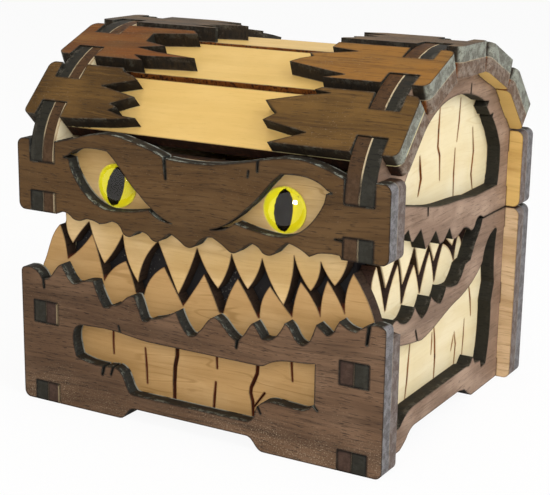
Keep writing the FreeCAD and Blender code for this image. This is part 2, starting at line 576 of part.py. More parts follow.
def draw_rectangles(sketch, rectangles):
    """Draw rectangles whose sides are tied to the spreadsheet: (left, right, low, high)."""
    for left, right, low, high in rectangles:
        corners = [(left, low), (right, low), (right, high), (left, high)]
        points = [FreeCAD.Vector(float(a), float(b), 0) for a, b in corners]
        ids = [sketch.addGeometry(Part.LineSegment(points[i], points[(i + 1) % 4]), False)
               for i in range(4)]
        join_ends(sketch, ids)
        sketch.addConstraint([Sketcher.Constraint("Horizontal", ids[0]),
                              Sketcher.Constraint("Horizontal", ids[2]),
                              Sketcher.Constraint("Vertical", ids[1]),
                              Sketcher.Constraint("Vertical", ids[3])])
        for kind, line, amount in (("DistanceX", ids[0], left), ("DistanceY", ids[0], low),
                                   ("DistanceX", ids[2], right), ("DistanceY", ids[2], high)):
            number = sketch.addConstraint(Sketcher.Constraint(kind, -1, 1, line, 1, float(amount)))
            bind(sketch, f"Constraints[{number}]", amount)


class Sheet:
    """A flat piece cut from a sheet, as a PartDesign body."""

    def __init__(self, name, plane, loops, thickness=PLY):
        self.name = name
        self.plane = plane
        self.thickness = thickness
        self.body = doc.addObject("PartDesign::Body", name)
        self.body.Label = name
        sketch = new_sketch(self.body, f"{name}_outline", plane)
        draw(sketch, loops)
        pad = self.body.newObject("PartDesign::Pad", f"{name}_pad")
        pad.Profile = sketch
        bind(pad, "Length", thickness)
        sketch.Visibility = False

    def slots(self, rectangles, name="slots"):
        """Cut rectangular slots through the sheet."""
        sketch = new_sketch(self.body, f"{self.name}_{name}", self.plane)
        draw_rectangles(sketch, rectangles)
        self._through(sketch, name)

    def cut(self, loops, name="cracks"):
        """Cut free outlines through the sheet."""
        sketch = new_sketch(self.body, f"{self.name}_{name}", self.plane)
        draw(sketch, loops)
        self._through(sketch, name)

    def _through(self, sketch, name):
        pocket = self.body.newObject("PartDesign::Pocket", f"{self.name}_{name}_pocket")
        pocket.Profile = sketch
        pocket.Type = "ThroughAll"
        pocket.Midplane = True
        sketch.Visibility = False

    def engrave(self, loops, on_top):
        """Engrave outlines into the padded face (on_top) or into the sketch's own face."""
        sketch = new_sketch(self.body, f"{self.name}_engraving", self.plane,
                            self.thickness if on_top else None)
        draw(sketch, loops)
        pocket = self.body.newObject("PartDesign::Pocket", f"{self.name}_engraving_pocket")
        pocket.Profile = sketch
        bind(pocket, "Length", size("engraving"))
        pocket.Reversed = not on_top
        sketch.Visibility = False

    def place(self, x=0.0, y=0.0, z=0.0, tilt=None):
        """Put the body in the chest; tilt turns it about X, in degrees."""
        place_at(self.body, x, y, z, tilt)
        return self


def place_at(thing, x=0.0, y=0.0, z=0.0, tilt=None):
    """Place an object; y is measured from the chest's front face."""
    if tilt is not None:
        thing.Placement = FreeCAD.Placement(FreeCAD.Vector(), FreeCAD.Rotation(FreeCAD.Vector(1, 0, 0), 0))
        bind(thing, "Placement.Rotation.Angle", tilt)
    bind(thing, "Placement.Base.x", x)
    bind(thing, "Placement.Base.y", as_size(y) - MIDDLE)
    bind(thing, "Placement.Base.z", z)


def cracks(specs, stretcher):
    """Return the loops of a list of cracks: (line, width, from_edge)."""
    return [stretcher(crack(*spec)) for spec in specs]


FRONT = "XZ_Plane"      # a pad on this plane grows towards the front
SIDE = "YZ_Plane"       # a pad on this plane grows to the right
FLAT = "XY_Plane"       # a pad on this plane grows upwards

# Corners are rounded by arcs: the middle of a quarter circle, as a share of its radius.
QUARTER = 1 - math.sqrt(0.5)


def circle(a, b, radius):
    """Return a circle's outline around a point."""
    a, b, radius = float(a), float(b), float(radius)
    return [(a - radius, b), [(a, b + radius)], (a + radius, b), [(a, b - radius)]]


def end_corners(half, low, high, radius):
    """Return the right-hand end of a panel, upwards, with round corners."""
    bend = radius * QUARTER
    return [(half - radius, low), [(half - bend, low + bend)], (half, low + radius),
            (half, high - radius), [(half - bend, high - bend)], (half - radius, high)]


# ---------------------------------------------------------------------------
# Front and rear walls
# ---------------------------------------------------------------------------

span = float(HALF_SPAN)
corner = float(size("corner"))
bend = corner * QUARTER


def side_slots(low, high):
    """Return the slots for both side walls' tabs between two heights."""
    inner = SIDE_INNER - FIT
    outer = SIDE_OUTER + FIT
    return [(-outer, -inner, low, high), (inner, outer, low, high)]


def wall_slots():
    """Return the base walls' slots, open at the floor."""
    return (side_slots(-PLY, size("foot_tab"))
            + side_slots(WALL_TAB_LOW - FIT, WALL_TAB_HIGH + FIT))


def floor_slots():
    """Return the slots for the floor panel's front or rear tabs."""
    low = size("floor_lift") - FIT
    high = FLOOR_TOP + FIT
    slots = []
    for place in (-size("floor_tab_place"), size("floor_tab_place")):
        slots.append((place - size("floor_tab") / 2 - FIT, place + size("floor_tab") / 2 + FIT, low, high))
    return slots


def base_wall(top):
    """Return a base wall's outline under a given top edge, with feet and an arch."""
    left_foot = [(-span + corner, 0.0), [(-span + bend, bend)], (-span, corner)]
    right_foot = [(span, corner), [(span - bend, bend)], (span - corner, 0.0)]
    return left_foot + top + right_foot + on_front(FRONT_ARCH)


def flat_top(height):
    """Return a straight top edge with round corners, left to right."""
    return [(-span, height - corner), [(-span + bend, height - bend)], (-span + corner, height),
            (span - corner, height), [(span - bend, height - bend)], (span, height - corner)]


front_dark = Sheet("base_front_walnut", FRONT, [base_wall(on_front(LOWER_LIP)), on_front(FRONT_WINDOW)])
front_dark.slots(wall_slots())
front_dark.cut(cracks(FRONT_DARK_CRACKS, on_front))
front_dark.place(y=PLY)

front_light = Sheet("base_front_maple", FRONT, [base_wall(on_front(LOWER_TEETH))])
front_light.slots(wall_slots() + floor_slots())
front_light.cut(cracks(FRONT_LIGHT_CRACKS, on_front))
front_light.cut(cracks(FRONT_LIGHT_FORK, on_front), "fork")
front_light.place(y=WALL)

rear_loop = base_wall(flat_top(float(BASE_TOP)))
top_slots = side_slots(REAR_TAB_LOW - FIT, BASE_TOP + PLY)
rear_light = Sheet("base_rear_maple", FRONT, [rear_loop])
rear_light.slots(wall_slots() + floor_slots() + top_slots)
rear_light.place(y=REAR_MIDDLE)

rear_dark = Sheet("base_rear_walnut", FRONT, [rear_loop])
rear_dark.slots(wall_slots() + top_slots)
rear_dark.engrave([on_front(crack(line, width, end=0.3)) for line, width in REAR_CRACKS], on_top=False)
rear_dark.place(y=DEPTH)

# ---------------------------------------------------------------------------
# Base side walls
# ---------------------------------------------------------------------------

wall = float(WALL)
deep = float(DEPTH)
rear_in = float(REAR_INNER)
fit = float(FIT)


def base_side(mouth):
    """Return a base side wall's outline under a given mouth edge, front to back."""
    foot = float(size("foot_tab")) - fit
    low, high = float(WALL_TAB_LOW), float(WALL_TAB_HIGH)
    top, rear_tab = float(BASE_TOP), float(REAR_TAB_LOW)
    front = [(0.0, 0.0), (0.0, foot), (wall, foot), (wall, low), (0.0, low), (0.0, high), (wall, high)]
    rear = [(back(DRAWN_BASE_REST), top), (deep, top), (deep, rear_tab), (rear_in, rear_tab),
            (rear_in, high), (deep, high), (deep, low), (rear_in, low), (rear_in, foot),
            (deep, foot), (deep, 0.0)]
    return front + on_side(mouth) + rear + on_side(SIDE_ARCH)


def floor_side_slots():
    """Return the slots for the floor panel's side tabs."""
    slots = []
    for place in (DEPTH / 2 - size("floor_side_tab"), DEPTH / 2 + size("floor_side_tab")):
        slots.append((place - size("floor_tab") / 2 - FIT, place + size("floor_tab") / 2 + FIT,
                      size("floor_lift") - FIT, FLOOR_TOP + FIT))
    return slots


base_engraving = [on_side(crack(line, width, end=0.3)) for line, width in BASE_SIDE_ENGRAVING]
lid_engraving = [on_side(crack(line, width, end=0.3)) for line, width in LID_SIDE_ENGRAVING]

for name, dark_x, light_x, outer_on_top in (
        ("left", -SIDE_OUTER, -SIDE_MIDDLE, False), ("right", SIDE_MIDDLE, SIDE_INNER, True)):
    dark = Sheet(f"base_{name}_walnut", SIDE, [base_side(SIDE_LOWER_LIP), on_side(BASE_SIDE_WINDOW)])
    dark.cut(cracks(SIDE_DARK_CRACKS, on_side))
    dark.place(x=dark_x)
    light = Sheet(f"base_{name}_maple", SIDE, [base_side(SIDE_LOWER_TEETH)])
    light.slots(floor_side_slots())
    light.engrave(base_engraving, on_top=outer_on_top)
    light.place(x=light_x)

# ---------------------------------------------------------------------------
# Floor, felt and lining
# ---------------------------------------------------------------------------


def floor_outline():
    """Return the floor panel's outline with its tabs, anticlockwise from the front left."""
    half, low, high = float(SIDE_INNER) - fit, wall + fit, rear_in - fit
    reach = float(PLY)
    tab = float(size("floor_tab")) / 2
    place = float(size("floor_tab_place"))
    side_place = float(size("floor_side_tab"))
    mid = deep / 2
    front = []
    for x in (-place, place):
        front += [(x - tab, low), (x - tab, low - reach), (x + tab, low - reach), (x + tab, low)]
    right = []
    for y in (mid - side_place, mid + side_place):
        right += [(half, y - tab), (half + reach, y - tab), (half + reach, y + tab), (half, y + tab)]
    rear = [(-x, low + high - y) for x, y in front]
    left = [(-x, low + high - y) for x, y in right]
    return [(-half, low)] + front + [(half, low)] + right + [(half, high)] + rear + [(-half, high)] + left


floor = Sheet("base_floor", FLAT, [floor_outline()])
floor.place(z=size("floor_lift"))


def block(name, x0, x1, y0, y1, z0, z1):
    """Make a plain block between six tied faces; y is measured from the front face."""
    box = doc.addObject("Part::Box", name)
    box.Label = name
    bind(box, "Length", as_size(x1) - x0)
    bind(box, "Width", as_size(y1) - y0)
    bind(box, "Height", as_size(z1) - z0)
    place_at(box, x0, y0, z0)
    return box


LINING_IN = LINING_X - size("lining")
block("floor_felt", -LINING_IN + FIT, LINING_IN - FIT, LINING_FRONT + size("lining") + FIT,
      LINING_REAR - size("lining") - FIT, FLOOR_TOP, FLOOR_TOP + size("felt"))
block("lining_left", -LINING_X, -LINING_IN, LINING_FRONT, LINING_REAR, FLOOR_TOP, LINING_TOP)
block("lining_right", LINING_IN, LINING_X, LINING_FRONT, LINING_REAR, FLOOR_TOP, LINING_TOP)
block("lining_front", -LINING_IN, LINING_IN, LINING_FRONT, LINING_FRONT + size("lining"),
      FLOOR_TOP, LINING_TOP)
block("lining_rear", -LINING_IN, LINING_IN, LINING_REAR - size("lining"), LINING_REAR,
      FLOOR_TOP, LINING_TOP)

# ---------------------------------------------------------------------------
# Lid face and rear
# ---------------------------------------------------------------------------

face_low = float(FACE_BOTTOM)


def lid_slots(low, high):
    """Return the slots at the lid's lower edge and the notches for the ribs at its top."""
    return side_slots(low - PLY, low + size("lid_tab")) + side_slots(RIB_START, high)


def lid_panel(low, bottom, top):
    """Return a lid panel's outline: bottom runs right to left, top left to right."""
    shoulder = up(DRAWN_SHOULDER)
    inner = across(DRAWN_THROAT)
    left_end = [(-inner, low), (-span + corner, low), [(-span + bend, low + bend)], (-span, low + corner),
                (-span, shoulder - corner), [(-span + bend, shoulder - bend)], (-span + corner, shoulder),
                (-inner - float(FIT), shoulder)]
    right_end = [(inner + float(FIT), shoulder), (span - corner, shoulder),
                 [(span - bend, shoulder - bend)], (span, shoulder - corner), (span, low + corner),
                 [(span - bend, low + bend)], (span - corner, low), (inner, low)]
    return left_end + top + right_end + bottom


TALL = BARREL_UP + BARREL
light_top = on_front([(-DRAWN_THROAT, DRAWN_LIGHT_TOP), (DRAWN_THROAT, DRAWN_LIGHT_TOP)])
face_dark = Sheet("lid_face_walnut", FRONT, [
    lid_panel(face_low, on_front(UPPER_LIP), on_front(BROW)),
    on_front(EYE_OPENING), on_front(mirrored(EYE_OPENING))])
face_dark.slots(lid_slots(FACE_BOTTOM, TALL))
face_dark.cut(cracks(FACE_CRACKS, on_front))
face_dark.cut([circle(x, EYE_UP, size("eye_radius") + size("eye_gap")) for x in (-EYE_X, EYE_X)], "seats")
face_dark.place(y=PLY)

face_light = Sheet("lid_face_maple", FRONT, [lid_panel(face_low, on_front(UPPER_TEETH), light_top)])
face_light.slots(lid_slots(FACE_BOTTOM, TALL))
face_light.place(y=WALL)

rear_low = float(LID_BOTTOM)
rear_panel = lid_panel(rear_low, [], light_top)
lid_rear_light = Sheet("lid_rear_maple", FRONT, [rear_panel])
lid_rear_light.slots(lid_slots(LID_BOTTOM, TALL))
lid_rear_light.place(y=REAR_MIDDLE)

lid_rear_dark = Sheet("lid_rear_walnut", FRONT, [rear_panel])
lid_rear_dark.slots(lid_slots(LID_BOTTOM, TALL))
lid_rear_dark.place(y=DEPTH)

# ---------------------------------------------------------------------------
# Lid side walls with their ribs
# ---------------------------------------------------------------------------


def barrel_point(turns, v, radius):
    """Return (y, z) on a slat: v up the slat from its centre line, at a radius from the axis."""
    angle = math.radians(float(TURN) * turns)
    y = float(BARREL_BACK) - radius * math.sin(angle) + v * math.cos(angle)
    z = float(BARREL_UP) + radius * math.cos(angle) + v * math.sin(angle)
    return (y, z)


def rib_crown(start, end, turn):
    """Return the middle of an arc between two points that turns by an angle in degrees."""
    (a, b), (c, d) = start, end
    bulge = math.tan(math.radians(turn) / 4) / 2
    return ((a + c) / 2 - (d - b) * bulge, (b + d) / 2 + (c - a) * bulge)


def lid_side_top():
    """Return the top of a lid side wall, front to back: slat seats with curved ribs between."""
    inner = float(BARREL_IN)
    outer = float(BARREL - size("rib_sink"))
    turn = float(TURN)
    start = float(NOTCH_FROM) + fit
    foot = (0.0, float(RIB_START) + fit)
    rib_end = barrel_point(2, -start, outer)
    path = [(wall, foot[1]), foot, [rib_crown(foot, rib_end, 90 - 2 * turn)], rib_end,
            barrel_point(2, -start, inner)]
    for turns in (2, 1, 0, -1):
        rib_start = barrel_point(turns, start, outer)
        rib_end = barrel_point(turns - 1, -start, outer)
        path += [barrel_point(turns, start, inner), rib_start, [rib_crown(rib_start, rib_end, turn)],
                 rib_end, barrel_point(turns - 1, -start, inner)]
    rib_start = barrel_point(-2, start, outer)
    foot = (deep, foot[1])
    path += [barrel_point(-2, start, inner), rib_start, [rib_crown(rib_start, foot, 90 - 2 * turn)],
             foot, (rear_in, foot[1])]
    return path


def lid_side(mouth):
    """Return a lid side wall's outline over a given mouth edge, back to front."""
    tab = float(size("lid_tab")) - fit
    rear = [(rear_in, rear_low + tab), (deep, rear_low + tab), (deep, rear_low)]
    front = [(wall, face_low), (0.0, face_low), (0.0, face_low + tab), (wall, face_low + tab)]
    return lid_side_top() + rear + [(back(DRAWN_LID_REST), rear_low)] + on_side(mouth) + front


for name, dark_x, light_x, outer_on_top in (
        ("left", -SIDE_OUTER, -SIDE_MIDDLE, False), ("right", SIDE_MIDDLE, SIDE_INNER, True)):
    dark = Sheet(f"lid_{name}_walnut", SIDE, [lid_side(SIDE_UPPER_LIP), on_side(LID_SIDE_WINDOW)])
    dark.cut(cracks(SIDE_LID_DARK_CRACKS, on_side))
    dark.place(x=dark_x)
    light = Sheet(f"lid_{name}_maple", SIDE, [lid_side(SIDE_UPPER_TEETH)])
    light.engrave(lid_engraving, on_top=outer_on_top)
    light.place(x=light_x)

# ---------------------------------------------------------------------------
# Slats of the barrel
# ---------------------------------------------------------------------------


def slat_notches():
    """Return the rib notches in both long edges of a slat."""
    return side_slots(-SLAT, -NOTCH_FROM) + side_slots(NOTCH_FROM, SLAT)


def slat_place(piece, turns, radius):
    """Put a slat on the barrel, its inner face at a radius from the axis."""
    angle = TURN * turns
    piece.place(y=BARREL_BACK - radius * sine(angle), z=BARREL_UP + radius * cosine(angle), tilt=angle)


def splinter_end(turns, right_side):
    """Return the splintered inner edge of a dark slat, from its upper edge to its lower one."""
    table = RIGHT_SPLINTERS if right_side else LEFT_SPLINTERS
    if turns >= 0:
        return on_slat(table[turns])
    other = LEFT_SPLINTERS if right_side else RIGHT_SPLINTERS
    return on_slat([(-x, -v) for x, v in reversed(other[-turns])])


def turned_round(outline):
    """Return an outline turned half a turn about the origin."""
    return [[(-a, -b) for a, b in item] if isinstance(item, list) else (-item[0], -item[1])
            for item in outline]


half_slat = float(SLAT) / 2
right_end = end_corners(span, -half_slat, half_slat, corner)
for number, turns in SLATS.items():
    light = Sheet(f"slat_{number}_maple", FLAT, [right_end + turned_round(right_end)])
    right = Sheet(f"slat_{number}_walnut_right", FLAT, [splinter_end(turns, True) + right_end])
    left = Sheet(f"slat_{number}_walnut_left", FLAT,
                 [splinter_end(turns, False)[::-1] + turned_round(right_end)])
    for piece, radius in ((light, BARREL_IN), (left, BARREL - PLY), (right, BARREL - PLY)):
        piece.slots(slat_notches())
        slat_place(piece, turns, radius)

# ---------------------------------------------------------------------------
# Glass eyes on printed discs
# ---------------------------------------------------------------------------


def eye_glass(name, x):
    """Make a glass dome whose flat back lies on its printed disc."""
    body = doc.addObject("PartDesign::Body", name)
    body.Label = name
    sketch = new_sketch(body, f"{name}_profile", "XY_Plane")
    radius, rim, height = (float(size(key)) for key in ("eye_radius", "eye_rim", "eye_height"))
    dome = height - rim
    ball = (radius ** 2 + dome ** 2) / (2 * dome)
    reach = math.asin(radius / ball) / 2
    middle = (ball * math.sin(reach), -(height - ball + ball * math.cos(reach)))
    # The profile's height runs towards -Y, out of the face; it is turned about the Y axis.
    draw(sketch, [[(0.0, 0.0), (radius, 0.0), (radius, -rim), [middle], (0.0, -height)]])
    turned = body.newObject("PartDesign::Revolution", f"{name}_dome")
    turned.Profile = sketch
    turned.ReferenceAxis = (sketch, ["V_Axis"])
    turned.Angle = 360
    place_at(body, x, PLY - size("eye_print"), EYE_UP)


def eye_print(name, x):
    """Make the printed disc behind a glass eye."""
    disc = doc.addObject("Part::Cylinder", name)
    disc.Label = name
    bind(disc, "Radius", size("eye_radius"))
    bind(disc, "Height", size("eye_print"))
    disc.Placement = FreeCAD.Placement(FreeCAD.Vector(), FreeCAD.Rotation(FreeCAD.Vector(1, 0, 0), 90))
    bind(disc, "Placement.Base.x", x)
    bind(disc, "Placement.Base.y", PLY - MIDDLE)
    bind(disc, "Placement.Base.z", EYE_UP)


for name, x in (("left", -EYE_X), ("right", EYE_X)):
    eye_print(f"eye_{name}_print", x)
    eye_glass(f"eye_{name}_glass", x)

# ---------------------------------------------------------------------------
# Hinges
# ---------------------------------------------------------------------------


def rod(name, radius, length, x, y, z):
    """Make a round bar along X, starting at x; y is measured from the front face."""
    bar = doc.addObject("Part::Cylinder", name)
    bind(bar, "Radius", radius)
    bind(bar, "Height", length)
    bar.Placement = FreeCAD.Placement(FreeCAD.Vector(), FreeCAD.Rotation(FreeCAD.Vector(0, 1, 0), 90))
    bind(bar, "Placement.Base.x", x)
    bind(bar, "Placement.Base.y", as_size(y) - MIDDLE)
    bind(bar, "Placement.Base.z", z)
    return bar


def stud(name, radius, length, x, y, z):
    """Make a round bar along Y, ending at y; y is measured from the front face."""
    bar = doc.addObject("Part::Cylinder", name)
    bind(bar, "Radius", radius)
    bind(bar, "Height", length)
    bar.Placement = FreeCAD.Placement(FreeCAD.Vector(), FreeCAD.Rotation(FreeCAD.Vector(1, 0, 0), 90))
    bind(bar, "Placement.Base.x", x)
    bind(bar, "Placement.Base.y", as_size(y) - MIDDLE)
    bind(bar, "Placement.Base.z", z)
    return bar


def fused(name, pieces):
    """Join overlapping shapes into one solid."""
    joined = doc.addObject("Part::MultiFuse", name)
    joined.Shapes = pieces
    joined.Refine = True
    return joined


def minus(name, solid, tool):
    """Cut a tool out of a solid."""
    result = doc.addObject("Part::Cut", name)
    result.Base = solid
    result.Tool = tool
    result.Refine = True
    return result


def screw_spots(middle, upward):
    """Return the places of a leaf's two screws."""
    z = SPLIT + size("screw_reach") if upward else SPLIT - size("screw_reach")
    return [(middle - size("screw_place"), z), (middle + size("screw_place"), z)]


def hinge_leaf(name, middle, upward):
    """Make a leaf with its knuckles: the lid's has the middle one, the base's the outer two."""
    half, gap, mid = size("hinge_half"), size("knuckle_gap"), size("knuckle_half")
    clear = size("knuckle") + gap
    leaf_back = DEPTH + size("leaf")
    spans = [(-mid, mid)] if upward else [(-half, -mid - gap), (mid + gap, half)]
    near, far = (clear, size("leaf_reach")) if upward else (-size("leaf_reach"), -clear)
    pieces = [block(f"{name}_plate", middle - half, middle + half, DEPTH, leaf_back,
                    SPLIT + near, SPLIT + far)]
    for number, (start, end) in enumerate(spans):
        low, high = (SPLIT, SPLIT + clear + gap) if upward else (SPLIT - clear - gap, SPLIT)
        pieces.append(block(f"{name}_neck_{number}", middle + start, middle + end, DEPTH, leaf_back,
                            low, high))
        pieces.append(rod(f"{name}_knuckle_{number}", size("knuckle"), end - start, middle + start,
                          HINGE_BACK, SPLIT))
    solid = fused(f"{name}_blank", pieces)
    holes = [rod(f"{name}_bore", size("pin") + size("pin_play"), half * 2 + gap * 2, middle - half - gap,
                 HINGE_BACK, SPLIT)]
    for number, (x, z) in enumerate(screw_spots(middle, upward)):
        holes.append(stud(f"{name}_hole_{number}", size("screw") + size("pin_play"), PLY, x,
                          leaf_back + size("leaf"), z))
    leaf = minus(name, solid, fused(f"{name}_holes", holes))
    leaf.Label = name


def hinge_pin(name, middle):
    """Make a hinge pin as long as its knuckles."""
    bar = rod(name, size("pin"), size("hinge_half") * 2, middle - size("hinge_half"), HINGE_BACK, SPLIT)
    bar.Label = name


def screws(name, upward):
    """Make the screws of one half of both hinges, as separate solids in one piece."""
    shapes = []
    head_back = DEPTH + size("leaf") + size("screw_rise")
    for side, middle in (("left", -size("hinge_place")), ("right", size("hinge_place"))):
        for number, (x, z) in enumerate(screw_spots(middle, upward)):
            head = stud(f"{name}_{side}_head_{number}", size("screw_head"), size("screw_rise"),
                        x, head_back, z)
            shank = stud(f"{name}_{side}_shank_{number}", size("screw"),
                         size("screw_long") + size("screw_rise"), x, head_back, z)
            shapes.append(fused(f"{name}_{side}_{number}", [head, shank]))
    group = doc.addObject("Part::Compound", name)
    group.Links = shapes
    group.Label = name


for name, middle in (("left", -size("hinge_place")), ("right", size("hinge_place"))):
    hinge_leaf(f"hinge_{name}_base_leaf", middle, upward=False)
    hinge_leaf(f"hinge_{name}_lid_leaf", middle, upward=True)
    hinge_pin(f"hinge_{name}_pin", middle)
screws("base_hinge_screws", upward=False)
screws("lid_hinge_screws", upward=True)


def pilot_holes(panels, upward):
    """Drill the screws' pilot holes through the rear sheets."""
    radius = size("screw") + size("pin_play")
    spots = screw_spots(-size("hinge_place"), upward) + screw_spots(size("hinge_place"), upward)
    for panel in panels:
        panel.cut([circle(x, z, radius) for x, z in spots], "pilots")


pilot_holes((rear_dark, rear_light), upward=False)
pilot_holes((lid_rear_dark, lid_rear_light), upward=True)

# ---------------------------------------------------------------------------
# Check and write
# ---------------------------------------------------------------------------

doc.recompute()

# A sub-part is an object that nothing else is built on, and that isn't a sketch or the sheet.
EXPORTS = []
for thing in doc.Objects:
    if "Invalid" in thing.State or "Error" in thing.State:
        raise RuntimeError(f"{thing.Name} failed: {thing.State}")
    if thing.TypeId == "PartDesign::Body":
        EXPORTS.append(thing)
    elif thing.TypeId.startswith("Part::") and not thing.InList:
        EXPORTS.append(thing)

os.makedirs("parts", exist_ok=True)
for thing in EXPORTS:
    shape = thing.Shape
    if shape.isNull() or not shape.isValid() or not shape.Solids:
        raise RuntimeError(f"{thing.Label} has no valid solid")
for thing in EXPORTS:
    thing.Shape.exportStep(f"parts/{thing.Label}.step")
print(f"{len(EXPORTS)} pieces written")
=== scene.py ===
"""Looks of the toothed dice chest: veneered ply, burnt edges, glass eyes, felt and brass.

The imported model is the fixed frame.  Every sheet of ply keeps its own shape and gets a finish that
knows which way the sheet faces, so that its two faces show veneer and its cut edges show char.  The
eyes, the felt and the hinge screws are modelled here in more detail than the frame holds.
Lengths are metres.
"""

import logging
import math
from dataclasses import dataclass, field, replace
from enum import Enum
from functools import reduce
from typing import Any, Callable, NamedTuple, Sequence, Union

import bpy
from bpy import ops
from mathutils import Matrix, Vector

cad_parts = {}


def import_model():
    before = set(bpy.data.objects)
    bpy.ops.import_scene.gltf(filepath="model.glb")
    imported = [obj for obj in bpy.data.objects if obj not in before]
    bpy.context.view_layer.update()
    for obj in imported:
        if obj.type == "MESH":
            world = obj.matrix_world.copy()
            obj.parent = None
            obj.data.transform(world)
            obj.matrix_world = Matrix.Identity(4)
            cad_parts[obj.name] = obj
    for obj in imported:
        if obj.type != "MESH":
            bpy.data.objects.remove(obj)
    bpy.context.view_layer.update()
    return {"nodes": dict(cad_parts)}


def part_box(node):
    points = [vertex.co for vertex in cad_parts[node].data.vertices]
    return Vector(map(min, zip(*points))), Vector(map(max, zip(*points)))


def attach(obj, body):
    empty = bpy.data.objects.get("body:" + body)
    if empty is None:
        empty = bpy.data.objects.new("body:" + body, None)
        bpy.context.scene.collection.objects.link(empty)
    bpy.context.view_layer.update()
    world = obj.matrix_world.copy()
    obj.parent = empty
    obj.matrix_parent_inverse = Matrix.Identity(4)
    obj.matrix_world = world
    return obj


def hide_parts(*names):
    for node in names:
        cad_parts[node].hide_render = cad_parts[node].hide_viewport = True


LOG = logging.getLogger("dice_chest")

Node = bpy.types.Node
Socket = bpy.types.NodeSocket
Material = bpy.types.Material
Piece = bpy.types.Object
Pieces = dict[str, Piece]
Number = Union[float, Socket]
Triple = tuple[float, float, float]
Colour = tuple[float, float, float, float]

LEFTWARD, RIGHTWARD = (-1.0, 0.0, 0.0), (1.0, 0.0, 0.0)
FRONTWARD, REARWARD = (0.0, -1.0, 0.0), (0.0, 1.0, 0.0)
DOWNWARD, UPWARD = (0.0, 0.0, -1.0), (0.0, 0.0, 1.0)
WHITE = (1.0, 1.0, 1.0, 1.0)
MERGE = 1e-7  # points nearer to each other than this are one
TOUCH = 1e-6  # a point this near to a plane lies in it


def tint(code: str) -> Colour:
    """Turn a colour written as #RRGGBB into the linear colour that shaders use.

    Args:
        code: The colour, as it looks on a screen.

    Returns:
        Red, green, blue and a full alpha.
    """
    shares = [int(code[i : i + 2], 16) / 255 for i in (1, 3, 5)]
    red, green, blue = (s / 12.92 if s <= 0.04045 else ((s + 0.055) / 1.055) ** 2.4 for s in shares)
    return red, green, blue, 1.0


def cover(piece: Piece, material: Material) -> None:
    """Give a piece one material and no other."""
    piece.data.materials.clear()
    piece.data.materials.append(material)


class Spot(NamedTuple):
    """A point of a sheet: along the grain, across it and below the outer face."""

    run: Number
    rise: Number
    depth: Number


class Figure(NamedTuple):
    """How closely the marks of a noise lie along the three directions, and how fine they are."""

    run: float
    rise: float
    depth: float
    detail: float
    roughness: float = 0.5


class Tree:
    """A node tree, built one plain step at a time."""

    def __init__(self, tree: bpy.types.NodeTree) -> None:
        """Empty a node tree, a material's or the sky's."""
        self.tree = tree
        self.tree.nodes.clear()

    def node(self, kind: str, fed: dict[Union[int, str], Any], **settings: Any) -> Node:
        """Add a node.

        Args:
            kind: The node's type.
            fed: What its inputs get, by name or number: an output, a number, a colour or its code.
            settings: The node's properties by name.

        Returns:
            The node.
        """
        made = self.tree.nodes.new(kind)
        for key, value in settings.items():
            setattr(made, key, value)
        for key, value in fed.items():
            if isinstance(value, bpy.types.NodeSocket):
                self.tree.links.new(value, made.inputs[key])
            else:
                made.inputs[key].default_value = tint(value) if isinstance(value, str) else value
        return made

    def maths(self, operation: str, *numbers: Number) -> Socket:
        """Return the result of one Math node."""
        return self.node("ShaderNodeMath", dict(enumerate(numbers)), operation=operation).outputs[0]

    def ray(self, kind: str) -> Socket:
        """Return one for rays of a kind, such as Camera, and nought for others."""
        return self.node("ShaderNodeLightPath", {}).outputs[f"Is {kind} Ray"]

    def blend(self, share: Number, first: Socket, second: Socket) -> Socket:
        """Return a mix of two shaders."""
        return self.node("ShaderNodeMixShader", {0: share, 1: first, 2: second}).outputs[0]


